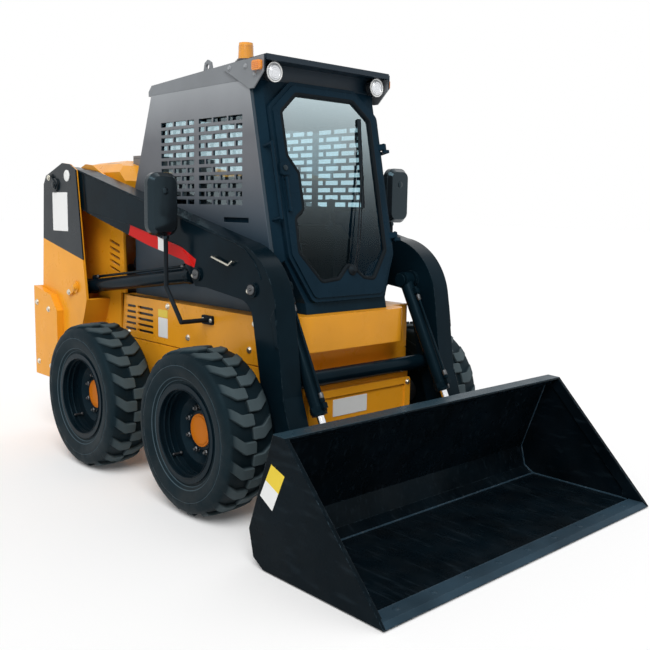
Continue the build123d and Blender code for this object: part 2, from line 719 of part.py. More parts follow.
with BuildPart() as beacon:
    # foot on the slope of the roof, lens upright on it
    with BuildSketch(roof_plane(BEACON_X, BEACON_Y)):
        Circle(52)
    extrude(amount=14)
    with BuildSketch(level_plane(2060)):
        with Locations((BEACON_X, BEACON_Y)):
            Circle(44)
    extrude(amount=44)
    with BuildSketch(level_plane(2104)):
        with Locations((BEACON_X, BEACON_Y)):
            Circle(38)
    extrude(amount=76, taper=3)
    split(bisect_by=roof_plane(BEACON_X, BEACON_Y))
    # marker lights on the brackets at the front corners
    for s in SIDES.values():
        with BuildSketch(side_plane(s * (CAB_HALF + 0.3 + GUSSET_T))):
            with Locations((-6, 2046)):
                RectangleRounded(60, 44, 10)
        extrude(amount=s * 18)
beacon.part.label = "beacon"
export_step(beacon.part, "parts/beacon.step")

MIRROR_X = ARM_OUT + 75  # clear of the arms
MIRROR_TUBE_R = 11.0
MIRROR_HEAD_X = ARM_OUT + 100
MIRROR_FOOT = (270.0, 850.0)
# side, then where the tube turns upright and the middle of the head, as (y, z)
MIRROR_PLACES = {"right": ((400.0, 1010.0), (400.0, 1410.0)), "left": ((140.0, 1010.0), (140.0, 1480.0))}
MIRROR_W, MIRROR_H, MIRROR_DEEP = 165.0, 300.0, 30.0


def tube_run(start, end):
    """Plane square to the run from start to end, and the run's length."""
    a, b = Vector(start[0], FRONT_AXLE_Y + start[1], start[2]), Vector(end[0], FRONT_AXLE_Y + end[1], end[2])
    return Plane(origin=a, z_dir=(b - a).normalized()), (b - a).length


with BuildPart() as mirror_arms:
    for side, (bend, head) in MIRROR_PLACES.items():
        s = SIDES[side]
        y, z = MIRROR_FOOT
        with BuildSketch(side_plane(s * (BODY_HALF + 0.3))):
            with Locations(MIRROR_FOOT):
                RectangleRounded(90, 44, 8)
        extrude(amount=s * 12)
        corners = [
            (s * (BODY_HALF + 6), y, z), (s * MIRROR_X, y, z), (s * MIRROR_X, *bend), (s * MIRROR_X, *head),
        ]
        for start, end in zip(corners, corners[1:]):
            plane, length = tube_run(start, end)
            with BuildSketch(plane):
                Circle(MIRROR_TUBE_R)
            extrude(amount=length)
        for x, y, z in corners[1:3]:
            with Locations((x, FRONT_AXLE_Y + y, z)):
                Sphere(MIRROR_TUBE_R)
mirror_arms.part.label = "mirror_arms"
export_step(mirror_arms.part, "parts/mirror_arms.step")

# heads: a flat glass side to the rear, a domed shell to the front, and a socket for the tube
with BuildPart() as mirrors:
    for side, (bend, head) in MIRROR_PLACES.items():
        s = SIDES[side]
        with BuildSketch(front_plane(head[0] + MIRROR_DEEP / 2)):
            with Locations((s * MIRROR_HEAD_X, head[1])):
                RectangleRounded(MIRROR_W, MIRROR_H, 55)
        extrude(amount=MIRROR_DEEP)
        with BuildSketch(front_plane(head[0] - MIRROR_DEEP / 2)):
            with Locations((s * MIRROR_HEAD_X, head[1])):
                RectangleRounded(MIRROR_W - 4, MIRROR_H - 4, 53)
        extrude(amount=24, taper=35)
        with BuildSketch(level_plane(bend[1] + 1)):
            with Locations((s * MIRROR_X, head[0])):
                Circle(MIRROR_TUBE_R + RUN)
        extrude(amount=head[1] - bend[1], mode=Mode.SUBTRACT)
mirrors.part.label = "mirrors"
export_step(mirrors.part, "parts/mirrors.step")

# ------------------------------------------------------------------ door
DOOR_OUTLINE = [
    (-240, 958), (-355, 1172), (-360, 1870), (-215, 1992), (215, 1992), (360, 1870), (355, 1172), (240, 958),
]
GLASS_OUTLINE = [
    (-175, 1050), (-295, 1190), (-290, 1350), (-235, 1390), (-235, 1560), (-295, 1640), (-297, 1845),
    (-190, 1935), (190, 1935), (297, 1845), (292, 1190), (180, 1050), (110, 1060), (20, 1130), (-60, 1060),
]
DOOR_T = 28.0
HANDLE_X, HANDLE_OUT, HANDLE_R, HANDLE_ENDS = -326.0, 42.0, 7.0, (1385.0, 1530.0)


def rounded_outline(points, radius):
    """Sketch of an outline of (x, z) laid on the slope of the cab front, its corners rounded."""
    with BuildSketch() as outline:
        with BuildLine():
            Polyline([(x, up(z)) for x, z in points], close=True)
        make_face()
        fillet(outline.vertices(), radius)
    return outline.sketch


with BuildPart() as door_frame:
    with BuildSketch(door_plane(1)):
        add(rounded_outline(DOOR_OUTLINE, 40))
        add(rounded_outline(GLASS_OUTLINE, 22), mode=Mode.SUBTRACT)
    extrude(amount=DOOR_T - 8)
    # raised rim of the door, narrower than its flange
    with BuildSketch(door_plane(DOOR_T - 7)):
        add(rounded_outline([(x * 0.955, 1475 + (z - 1475) * 0.965) for x, z in DOOR_OUTLINE], 40))
        add(rounded_outline(GLASS_OUTLINE, 22), mode=Mode.SUBTRACT)
    extrude(amount=8)
    # pull handle on two feet, with the lock above it
    for z in HANDLE_ENDS:
        with BuildSketch(door_plane(DOOR_T - 4)):
            with Locations((HANDLE_X, up(z))):
                Circle(HANDLE_R)
        extrude(amount=HANDLE_OUT - DOOR_T + 4)
    with BuildSketch(slope_plane(up(HANDLE_ENDS[0]) - HANDLE_R)):
        with Locations((HANDLE_X, -HANDLE_OUT)):
            Circle(HANDLE_R)
    extrude(amount=up(HANDLE_ENDS[1]) - up(HANDLE_ENDS[0]) + 2 * HANDLE_R)
    with BuildSketch(door_plane(DOOR_T - 4)):
        with Locations((HANDLE_X, up(HANDLE_ENDS[1] + 45))):
            RectangleRounded(46, 60, 10)
    extrude(amount=16)
    # hinge knuckles
    for z in DOOR_HINGES:
        with BuildSketch(hinge_plane(up(z))):
            with BuildLine():
                Polyline([(-40, 6), (-40, 30), (-14, 30), (4, 11), (12, 0), (0, -12), (-14, -8)], close=True)
            make_face()
            Circle(12)
            Circle(DOOR_PIN_R + RUN, mode=Mode.SUBTRACT)
        extrude(amount=30)
door_frame.part.label = "door_frame"
export_step(door_frame.part, "parts/door_frame.step")

with BuildPart() as door_glass:
    with BuildSketch(door_plane(12)):
        add(rounded_outline(GLASS_OUTLINE, 22))
    extrude(amount=6)
door_glass.part.label = "door_glass"
export_step(door_glass.part, "parts/door_glass.step")

# ------------------------------------------------------------------ hood and tailgate
HOOD_HALF = TOWER_IN - 23
with BuildPart() as hood:
    with BuildSketch(side_plane(-HOOD_HALF)):
        with BuildLine():
            Polyline(
                [(1190, 1476), (1190, 1540), (1300, 1630), (1480, 1668), (TOWER_REAR - 180, 1655),
                 (TOWER_REAR - 40, 1575), (TOWER_REAR - 12, 1530), (TOWER_REAR - 12, 1476)], close=True,
            )
        make_face()
    extrude(amount=2 * HOOD_HALF)
    # shoulders of the hood, seen from the front
    with BuildSketch(front_plane(1100)):
        with BuildLine():
            Polyline(
                [(-HOOD_HALF, 1400), (-HOOD_HALF, 1590), (-HOOD_HALF + 70, 1642), (-HOOD_HALF + 190, 1670),
                 (HOOD_HALF - 190, 1670), (HOOD_HALF - 70, 1642), (HOOD_HALF, 1590), (HOOD_HALF, 1400)],
                close=True,
            )
        make_face()
    extrude(amount=-TOWER_REAR, mode=Mode.INTERSECT)
    # louvres across the top, and a finned air box ahead of them
    with BuildSketch(level_plane(1700)):
        with Locations((0, 1480)):
            with GridLocations(260, 34, 2, 5):
                SlotOverall(220, 14)
    extrude(amount=-52, mode=Mode.SUBTRACT)
    with BuildSketch(level_plane(1560)):
        with Locations((0, 1330)):
            RectangleRounded(520, 130, 20)
    extrude(amount=132)
    with BuildSketch(level_plane(1700)):
        with Locations((0, 1330)):
            with GridLocations(40, 1, 12, 1):
                SlotOverall(110, 14, rotation=90)
    extrude(amount=-24, mode=Mode.SUBTRACT)
    # hinge lugs
    for s in SIDES.values():
        with BuildSketch(side_plane(s * 400)):
            with Locations(HOOD_HINGE):
                Circle(16)
            with Locations((HOOD_HINGE[0], HOOD_HINGE[1] + 10)):
                Rectangle(24, 20)
        extrude(amount=s * 20)
        with BuildSketch(side_plane(s * 399)):
            with Locations(HOOD_HINGE):
                Circle(HINGE_R + RUN)
        extrude(amount=s * 22, mode=Mode.SUBTRACT)
hood.part.label = "hood"
export_step(hood.part, "parts/hood.step")

GATE_WIDTH, GATE_HEIGHT, GATE_T = 850.0, 1090.0, 34.0
with BuildPart() as tailgate:
    with BuildSketch(front_plane(REAR_Y - 5)):
        with Locations((0, 905)):
            RectangleRounded(GATE_WIDTH, GATE_HEIGHT, 16)
    extrude(amount=GATE_T)
    # pressed frame, louvres of the cooler and a recessed pull
    with BuildSketch(front_plane(REAR_Y - 4)):
        with Locations((0, 1000)):
            with GridLocations(360, 44, 2, 11):
                SlotOverall(310, 22)
        with Locations((0, 560)):
            RectangleRounded(560, 190, 30)
        with Locations((-GATE_WIDTH / 2 + 60, 690)):
            SlotOverall(130, 44, rotation=90)
    extrude(amount=13, mode=Mode.SUBTRACT)
    for z in GATE_HINGES:
        with BuildSketch(level_plane(z)):
            with Locations(GATE_AXIS):
                Circle(KNUCKLE_R)
            with BuildLine():
                x, y = GATE_AXIS
                Polyline(
                    [(x - 50, REAR_Y - 6), (x - 50, REAR_Y - 1), (x - 4, y + KNUCKLE_R - 1), (x, y),
                     (x - 14, y - 8), (x - 20, REAR_Y - 6)], close=True,
                )
            make_face()
            with Locations(GATE_AXIS):
                Circle(HINGE_R + RUN, mode=Mode.SUBTRACT)
        extrude(amount=40)
tailgate.part.label = "tailgate"
export_step(tailgate.part, "parts/tailgate.step")

# ------------------------------------------------------------------ lift arms
# side outline of an arm: straight along its top, round the elbow, down the front leg and back up inside
ARM_ELBOW = [(-62, 1249), (-252, 1158), (-350, 962)]
ARM_LEG = [(-404, 581), (-455, 440), (-528, 215)]
ARM_TOE = [(-528, 215), (-498, 152), (-432, 150)]
ARM_INSIDE = [(-190, 900), (-158, 962), (-100, 990)]
ARM_BELLY = [(-100, 990), (170, 1022), (262, 1022), (360, 1140), (690, 1200), (1337, 1355)]
with BuildPart() as lift_arms:
    for s in SIDES.values():
        with BuildSketch(side_plane(s * ARM_IN)):
            with BuildLine():
                y, z = ARM_PIVOT
                Polyline((y - 10, 1624), (1447, 1600), ARM_ELBOW[0])
                ThreePointArc(*ARM_ELBOW)
                Line(ARM_ELBOW[-1], ARM_LEG[0])
                ThreePointArc(*ARM_LEG)
                ThreePointArc(*ARM_TOE)
                Polyline(ARM_TOE[-1], (-405, 190), (-330, 380), (-250, 600), ARM_INSIDE[0])
                ThreePointArc(*ARM_INSIDE)
                Polyline(*ARM_BELLY, (y - 70, 1420), (y + 30, 1410))
                ThreePointArc((y + 30, 1410), (y + 104, 1500), (y + 95, 1570))
                ThreePointArc((y + 95, 1570), (y + 52, 1612), (y - 10, 1624))
            make_face()
        extrude(amount=s * (ARM_OUT - ARM_IN))
        # seam where the front leg is welded to the boom, and a doubler plate round the tilt pin
        with BuildSketch(side_plane(s * ARM_OUT)):
            with BuildLine():
                Polyline(
                    [(-318, 930), (-332, 872), (-350, 800), (-372, 800), (-357, 900), (-345, 968)],
                    close=True,
                )
            make_face()
        extrude(amount=s * 5)
        with BuildSketch(side_plane(s * (ARM_IN - 5))):
            with Locations(ARM_PIVOT):
                Circle(60)
        extrude(amount=s * (ARM_OUT - ARM_IN + 10))
        with BuildSketch(side_plane(s * (ARM_IN - 6))):
            with Locations(ARM_PIVOT):
                Circle(LIFT_PIN_R + RUN)
        extrude(amount=s * (ARM_OUT - ARM_IN + 12), mode=Mode.SUBTRACT)
        # slot for the eye of the lift rod
        with BuildSketch(side_plane(s * (ARM_MID - 45))):
            with BuildLine():
                Polyline(
                    [(150, 1000), (150, 1165), (420, 1225), (1337, 1430), (1337, 1300), (420, 1000)], close=True,
                )
            make_face()
        extrude(amount=s * 90, mode=Mode.SUBTRACT)
        # lift pin ends, tilt pin
        with BuildSketch(side_plane(s * ARM_OUT)):
            with Locations(LIFT_EYE, TILT_BASE):
                Circle(34)
        extrude(amount=s * 10)
        with BuildSketch(side_plane(s * ARM_IN)):
            with Locations(TILT_BASE):
                Circle(46)
        extrude(amount=-s * 12)
        with BuildSketch(side_plane(s * ARM_IN)):
            with Locations(TILT_BASE):
                Circle(PIN_R)
        extrude(amount=-s * 96)
        with BuildSketch(side_plane(s * (ARM_IN - 88))):
            with Locations(TILT_BASE):
                Circle(34)
        extrude(amount=-s * 8)
        # bore for the bucket pivot
        with BuildSketch(side_plane(s * (ARM_IN - 6))):
            with Locations(BUCKET_PIVOT):
                Circle(PIN_R + RUN)
        extrude(amount=s * (ARM_OUT - ARM_IN + 12), mode=Mode.SUBTRACT)
    with BuildSketch(side_plane(-ARM_IN)):
        with Locations(CROSS_TUBE):
            Circle(CROSS_TUBE_R)
    extrude(amount=2 * ARM_IN)
lift_arms.part.label = "lift_arms"
export_step(lift_arms.part, "parts/lift_arms.step")

# ------------------------------------------------------------------ cylinders
# name, base pin, eye pin, x, barrel length, barrel radius, rod radius, rod length, eye radius,
# base width, eye width
CYLINDERS = [
    ("lift", LIFT_BASE, LIFT_EYE, ARM_MID, 1090.0, LIFT_BARREL_R, LIFT_ROD_R, 870.0, 40.0, 84.0, 50.0),
    ("tilt", TILT_BASE, TILT_EYE, TILT_X, 610.0, TILT_BARREL_R, TILT_ROD_R, 480.0, 30.0, 60.0, 50.0),
]
PIPE_R = 7.0
for name, base, eye, x, barrel_len, barrel_r, rod_r, rod_len, eye_r, base_w, eye_w in CYLINDERS:
    length = math.dist(base, eye)
    dy, dz = (eye[0] - base[0]) / length, (eye[1] - base[1]) / length
    base_eye_r = barrel_r + 6
    for side, s in SIDES.items():
        def axis_plane(along):
            return Plane(
                origin=(s * x, FRONT_AXLE_Y + base[0] + dy * along, base[1] + dz * along),
                x_dir=(1, 0, 0), z_dir=(0, dy, dz),
            )
        with BuildPart() as barrel:
            with BuildSketch(axis_plane(base_eye_r * 0.5)):
                Circle(barrel_r)
            extrude(amount=barrel_len - base_eye_r * 0.5)
            with BuildSketch(axis_plane(barrel_len - 45)):
                Circle(barrel_r + 2)
            extrude(amount=45)
            # pressure pipe along the barrel, on two blocks
            with BuildSketch(axis_plane(base_eye_r + 30)):
                with Locations((0, barrel_r + PIPE_R + 5)):
                    Circle(PIPE_R)
            extrude(amount=barrel_len - base_eye_r - 50)
            for along in (base_eye_r + 30, barrel_len - 46):
                with BuildSketch(axis_plane(along)):
                    with Locations((0, (barrel_r + 2 * PIPE_R + 8) / 2)):
                        Rectangle(24, barrel_r + 2 * PIPE_R + 8)
                extrude(amount=26)
            with BuildSketch(axis_plane(base_eye_r + 20)):
                Circle(rod_r + 6)
            extrude(amount=barrel_len - base_eye_r - 20 - 40, mode=Mode.SUBTRACT)
            with BuildSketch(axis_plane(base_eye_r + 20)):
                Circle(rod_r + RUN)
            extrude(amount=barrel_len, mode=Mode.SUBTRACT)
            with BuildSketch(side_plane(s * x - base_w / 2)):
                with Locations(base):
                    Circle(base_eye_r)
            extrude(amount=base_w)
            with BuildSketch(side_plane(s * x - base_w)):
                with Locations(base):
                    Circle(PIN_R + RUN)
            extrude(amount=2 * base_w, mode=Mode.SUBTRACT)
        barrel.part.label = f"{name}_barrel_{side}"
        export_step(barrel.part, f"parts/{name}_barrel_{side}.step")
        with BuildPart() as rod:
            with BuildSketch(axis_plane(length - rod_len)):
                Circle(rod_r)
            extrude(amount=rod_len - eye_r * 0.5)
            with BuildSketch(side_plane(s * x - eye_w / 2)):
                with Locations(eye):
                    Circle(eye_r)
            extrude(amount=eye_w)
            with BuildSketch(side_plane(s * x - eye_w / 2 - 4)):
                with Locations(eye):
                    Circle(14)
            extrude(amount=eye_w + 8)
        rod.part.label = f"{name}_rod_{side}"
        export_step(rod.part, f"parts/{name}_rod_{side}.step")

# ------------------------------------------------------------------ coupler and bucket
# back of the bucket, as (y, z), from its lower to its upper end
BACK_LOW, BACK_TOP = (-612.0, 150.0), (-756.0, 561.0)
back_len = math.dist(BACK_LOW, BACK_TOP)
back_dir = ((BACK_TOP[0] - BACK_LOW[0]) / back_len, (BACK_TOP[1] - BACK_LOW[1]) / back_len)
back_out = (back_dir[1], -back_dir[0])  # to the rear of the back plate


def behind(along, out):
    """Point behind the bucket's back: distance up it from its lower end, and out from it."""
    return (
        BACK_LOW[0] + back_dir[0] * along + back_out[0] * out,
        BACK_LOW[1] + back_dir[1] * along + back_out[1] * out,
    )


with BuildPart() as coupler:
    with BuildSketch(side_plane(-606)):
        with BuildLine():
            Polyline([behind(10, 1), behind(390, 1), behind(390, 19), behind(10, 19)], close=True)
        make_face()
    extrude(amount=1212)
    for s in SIDES.values():
        # ears: inboard of the tilt rod, between rod and arm, outboard of the arm
        for x0, x1, high in ((378, 390, True), (458, 470, True), (592, 606, False)):
            top = [behind(290, 18), (TILT_EYE[0] - 8, TILT_EYE[1] + 36), (TILT_EYE[0] + 30, TILT_EYE[1] + 22)]
            low = [behind(170, 18)]
            with BuildSketch(side_plane(s * x0)):
                with BuildLine():
                    Polyline(
                        [behind(20, 18)] + (top if high else low)
                        + [(BUCKET_PIVOT[0] + 34, BUCKET_PIVOT[1] + 30), (BUCKET_PIVOT[0] + 44, BUCKET_PIVOT[1]),
                           (BUCKET_PIVOT[0] + 10, BUCKET_PIVOT[1] - 44),
                           (BUCKET_PIVOT[0] - 40, BUCKET_PIVOT[1] - 48)], close=True,
                    )
                make_face()
            extrude(amount=s * (x1 - x0))
        with BuildSketch(side_plane(s * 458)):
            with Locations(BUCKET_PIVOT):
                Circle(PIN_R)
        extrude(amount=s * 158)
coupler.part.label = "coupler"
export_step(coupler.part, "parts/coupler.step")

SHELL_T = 10.0
SHELL_RUN = [(-1250, BUCKET_GROUND), (-700, BUCKET_GROUND), (-640, 40), BACK_LOW, BACK_TOP, (-823, 558)]
SIDE_OUTLINE = [
    (-1345, BUCKET_GROUND), (-700, BUCKET_GROUND), (-640, 40), BACK_LOW, BACK_TOP, (-823, 558), (-1318, 36),
]
with BuildPart() as bucket:
    with BuildSketch(side_plane(-BUCKET_HALF + 6)):
        with BuildLine():
            Polyline(band(SHELL_RUN, SHELL_T), close=True)
        make_face()
    extrude(amount=2 * BUCKET_HALF - 12)
    for s in SIDES.values():
        with BuildSketch(side_plane(s * (BUCKET_HALF - 12))):
            with BuildLine():
                Polyline(SIDE_OUTLINE, close=True)
            make_face()
        extrude(amount=s * 12)
        # doubler along the open edge of the side
        with BuildSketch(side_plane(s * (BUCKET_HALF - 18))):
            with BuildLine():
                Polyline(
                    [(-1300, BUCKET_GROUND + 18), (-1318, 36), (-823, 558), (-756, 561), (-772, 520),
                     (-800, 500), (-1215, 60), (-1215, BUCKET_GROUND + 18)], close=True,
                )
            make_face()
        extrude(amount=s * 8)
    # stiff lip along the top
    with BuildSketch(side_plane(-BUCKET_HALF + 6)):
        with BuildLine():
            Polyline([(-823, 558), (-829, 552), (-806, 528), (-768, 530), (-756, 561)], close=True)
        make_face()
    extrude(amount=2 * BUCKET_HALF - 12)
bucket.part.label = "bucket"
export_step(bucket.part, "parts/bucket.step")

with BuildPart() as cutting_edge:
    with BuildSketch(side_plane(-BUCKET_HALF + 12.3)):
        with BuildLine():
            Polyline([(-1345, BUCKET_GROUND), (-1251, BUCKET_GROUND), (-1251, BUCKET_GROUND + 16),
                      (-1320, BUCKET_GROUND + 16)], close=True)
        make_face()
    extrude(amount=2 * (BUCKET_HALF - 12.3))
cutting_edge.part.label = "cutting_edge"
export_step(cutting_edge.part, "parts/cutting_edge.step")
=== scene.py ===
import math

import bmesh
import bpy
from mathutils import Matrix, Vector


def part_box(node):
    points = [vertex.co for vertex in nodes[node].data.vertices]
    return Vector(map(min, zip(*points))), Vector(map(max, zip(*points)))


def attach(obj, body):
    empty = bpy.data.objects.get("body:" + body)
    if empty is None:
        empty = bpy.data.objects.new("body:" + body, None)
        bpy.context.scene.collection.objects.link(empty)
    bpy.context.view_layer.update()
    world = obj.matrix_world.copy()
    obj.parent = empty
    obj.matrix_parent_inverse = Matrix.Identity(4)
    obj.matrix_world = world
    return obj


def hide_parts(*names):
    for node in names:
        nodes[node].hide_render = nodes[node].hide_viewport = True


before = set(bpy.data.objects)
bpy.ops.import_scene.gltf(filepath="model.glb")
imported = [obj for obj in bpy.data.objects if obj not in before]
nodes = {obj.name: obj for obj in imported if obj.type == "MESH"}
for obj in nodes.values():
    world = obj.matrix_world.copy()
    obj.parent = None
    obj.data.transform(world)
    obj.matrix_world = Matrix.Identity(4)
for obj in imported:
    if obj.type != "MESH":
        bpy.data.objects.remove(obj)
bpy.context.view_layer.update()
scene = bpy.context.scene

ENDS = ("front", "rear")
SIDES = {"right": -1, "left": 1}


def middle(node):
    low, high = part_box(node)
    return (Vector(low) + Vector(high)) / 2


AXLE = middle("tyre_front_right")  # front axle line; lengths along the machine are counted from it


def at(x, y, z):
    """Place in the row frame of a point given in millimetres, y counted back from the front axle."""
    return Vector((x / 1000, y / 1000 + AXLE.y, z / 1000))


def at_mm(place):
    """The millimetres that at() takes, of a place in the row frame."""
    return place[0] * 1000, (place[1] - AXLE.y) * 1000, place[2] * 1000


def reach(node, axis, end):
    """A node's low (0) or high (1) end along an axis, in the millimetres that at() takes."""
    return (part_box(node)[end][axis] - (AXLE.y if axis == 1 else 0)) * 1000


# outer faces of plates that pins and bosses stand out from
TOWER_FACE = reach("towers", 0, 1) - 12
ARM_FACE = reach("lift_arms", 0, 1) - 10
COUPLER_FACE = reach("coupler", 0, 1) - 10
# pins, as (y, z)
ARM_PIVOT, BUCKET_PIVOT = (1670, 1515), (-465, 205)
LIFT_BASE, LIFT_EYE = (1440, 926), (240, 1080)
TILT_BASE, TILT_REACH, TILT_ANGLE = (-190, 1040), 190, math.radians(108)
TILT_EYE = (BUCKET_PIVOT[0] + TILT_REACH * math.cos(TILT_ANGLE),
            BUCKET_PIVOT[1] + TILT_REACH * math.sin(TILT_ANGLE))


# ------------------------------------------------------------------ camera, floor and light
CAMERA_PLACE = (-2899, -3145.6, 1403.6)
CAMERA_TURN = (42.972, -7.852, 0.951)  # yaw, pitch and roll in degrees
SENSOR, LENS = 36, 46.883077  # width of the sensor and focal length


def place_camera():
    yaw, pitch, roll = (math.radians(angle) for angle in CAMERA_TURN)
    look = Vector((math.sin(yaw) * math.cos(pitch), math.cos(yaw) * math.cos(pitch), math.sin(pitch)))
    side = Vector((math.cos(yaw), -math.sin(yaw), 0))
    rise = side.cross(look)
    right = math.cos(roll) * side + math.sin(roll) * rise
    top = -math.sin(roll) * side + math.cos(roll) * rise
    data = bpy.data.cameras.new("camera")
    data.sensor_width = SENSOR
    data.lens = LENS
    camera = bpy.data.objects.new("camera", data)
    scene.collection.objects.link(camera)
    turn = Matrix((right, top, -look)).transposed().to_4x4()
    camera.matrix_world = Matrix.Translation(at(*CAMERA_PLACE)) @ turn
    scene.camera = camera


def place_sun(name, towards, strength, softness):
    """A wide, soft sun that shines from the given direction."""
    data = bpy.data.lights.new(name, "SUN")
    data.energy = strength
    data.angle = math.radians(softness)
    light = bpy.data.objects.new(name, data)
    light.rotation_euler = Vector(towards).to_track_quat("Z", "Y").to_euler()
    scene.collection.objects.link(light)


# ------------------------------------------------------------------ materials
class Finish:
    """A material's node tree, with short calls for the nodes that every finish uses."""

    def __init__(self, name):
        self.material = bpy.data.materials.new(name)
        self.material.use_nodes = True
        self.tree = self.material.node_tree
        self.shader = self.tree.nodes["Principled BSDF"]
        self.place = self.add("ShaderNodeTexCoord").outputs["Object"]
        self.x, self.y, self.z = self.add("ShaderNodeSeparateXYZ", Vector=self.place).outputs

    def add(self, kind, settings=(), **values):
        node = self.tree.nodes.new(kind)
        for key, value in dict(settings).items():
            setattr(node, key, value)
        for key, value in values.items():
            self.put(node.inputs[key.replace("_", " ")], value)
        return node

    def put(self, socket, value):
        if isinstance(value, bpy.types.NodeSocket):
            self.tree.links.new(value, socket)
        else:
            socket.default_value = value

    def noise(self, scale, detail=3.0, rough=0.5):
        node = self.add("ShaderNodeTexNoise", Vector=self.place, Scale=scale, Detail=detail, Roughness=rough)
        return node.outputs["Fac"]

    def ramp(self, value, low, high, to_low=0.0, to_high=1.0):
        node = self.add("ShaderNodeMapRange", Value=value)
        for i, number in enumerate((low, high, to_low, to_high)):
            node.inputs[i + 1].default_value = number
        return node.outputs["Result"]

    def math(self, operation, a, b=0.0):
        node = self.add("ShaderNodeMath", {"operation": operation})
        self.put(node.inputs[0], a)
        self.put(node.inputs[1], b)
        return node.outputs[0]

    def both(self, *masks):
        result = masks[0]
        for mask in masks[1:]:
            result = self.math("MULTIPLY", result, mask)
        return result

    def mix(self, amount, a, b):
        node = self.add("ShaderNodeMix", {"data_type": "RGBA"})
        self.put(node.inputs[0], amount)
        for i, value in ((6, a), (7, b)):
            self.put(node.inputs[i], value if isinstance(value, bpy.types.NodeSocket) else (*value, 1))
        return node.outputs[2]

    def over(self, value, least):
        return self.math("GREATER_THAN", value, least)

    def span(self, value, low, high):
        """1 where value lies between low and high."""
        return self.both(self.over(value, low), self.math("LESS_THAN", value, high))

    def outboard(self, x):
        """1 further than x millimetres from the middle of the machine."""
        return self.over(self.math("ABSOLUTE", self.x), x / 1000)

    def before(self, y):
        """1 in front of y millimetres."""
        return self.math("LESS_THAN", self.y, at(0, y, 0).y)

    def behind(self, y):
        return self.over(self.y, at(0, y, 0).y)

    def lengthways(self, low, high):
        """1 between two places along the machine, in millimetres."""
        return self.span(self.y, at(0, low, 0).y, at(0, high, 0).y)

    def inside(self, corners):
        """1 inside the convex outline of (y, z) in millimetres, anticlockwise, at any x."""
        masks = []
        for (ay, az), (by, bz) in zip(corners, corners[1:] + corners[:1]):
            normal = Vector((0, az - bz, by - ay))
            dot = self.add("ShaderNodeVectorMath", {"operation": "DOT_PRODUCT"})
            self.put(dot.inputs[0], self.place)
            dot.inputs[1].default_value = normal
            masks.append(self.over(dot.outputs["Value"], normal.dot(at(0, ay, az))))
        return self.both(*masks)

    def away(self, centre):
        """Distance from the line through centre along x."""
        flat = self.add("ShaderNodeVectorMath", {"operation": "MULTIPLY"})
        self.put(flat.inputs[0], self.place)
        flat.inputs[1].default_value = (0, 1, 1)
        node = self.add("ShaderNodeVectorMath", {"operation": "DISTANCE"})
        self.put(node.inputs[0], flat.outputs[0])
        node.inputs[1].default_value = (0, centre[1], centre[2])
        return node.outputs["Value"]

    def off_axle(self):
        """Distance from the nearer axle line."""
        return self.math("MINIMUM", *(self.away(middle(f"wheel_{end}_right")) for end in ENDS))


def coating(name, tone, rough=0.35, metal=0.0, coat=0.0, shine=0.5, tint=(1, 1, 1), spread=0.06, bump=0.05,
            grain=260.0, edge=0.0035, wear_and_sheen_tone=(0.3, 0.3, 0.3), worn=0.2, dust=0.06, regions=None):
    """Paint, plastic, rubber or steel: slow colour drift, fine grain, softened edges with scuff marks that on
    some finishes are a paler painted highlight along the edges, dust low down.
    regions(f) gives more colours as (mask, tone) pairs."""
    f = Finish(name)
    f.shader.inputs["Metallic"].default_value = metal
    f.shader.inputs["Specular IOR Level"].default_value = shine
    f.shader.inputs["Specular Tint"].default_value = (*tint, 1)
    f.shader.inputs["Coat Weight"].default_value = coat
    f.shader.inputs["Coat Roughness"].default_value = 0.08
    drift = f.ramp(f.noise(4.0), 0.3, 0.7)
    colour = f.mix(drift, tuple(c * (1 - spread) for c in tone), tuple(min(1, c * (1 + spread)) for c in tone))
    for mask, other in (regions(f) if regions else ()):
        colour = f.mix(mask, colour, f.mix(drift, tuple(c * 0.93 for c in other), other))
    rounded = f.add("ShaderNodeBevel", {"samples": 4}, Radius=edge).outputs[0]
    facing = f.add("ShaderNodeVectorMath", {"operation": "DOT_PRODUCT"})
    f.put(facing.inputs[0], rounded)
    f.put(facing.inputs[1], f.add("ShaderNodeNewGeometry").outputs["Normal"])
    edges = f.ramp(facing.outputs["Value"], 0.97, 0.8)
    # scuff marks on the edges; with a pale tone they are a painted highlight along the edges
    scuffs_and_sheen = f.math("MULTIPLY", edges, f.ramp(f.noise(38.0, 5.0, 0.65), 0.5, 0.66, 0.0, worn))
    colour = f.mix(scuffs_and_sheen, colour, wear_and_sheen_tone)
    low = f.math("MULTIPLY", f.ramp(f.z, 0.7, 0.0), f.ramp(f.noise(9.0, 6.0, 0.6), 0.4, 0.75, 0.0, dust))
    f.put(f.shader.inputs["Base Color"], f.mix(low, colour, (0.3, 0.28, 0.25)))
    smear = f.ramp(f.noise(11.0, 4.0), 0.3, 0.7, max(rough - 0.05, 0.03), rough + 0.07)
    f.put(f.shader.inputs["Roughness"], smear)
    relief = f.add("ShaderNodeBump", Strength=bump, Distance=0.002, Height=f.noise(grain, 2.0), Normal=rounded)
    f.put(f.shader.inputs["Normal"], relief.outputs[0])
    return f.material


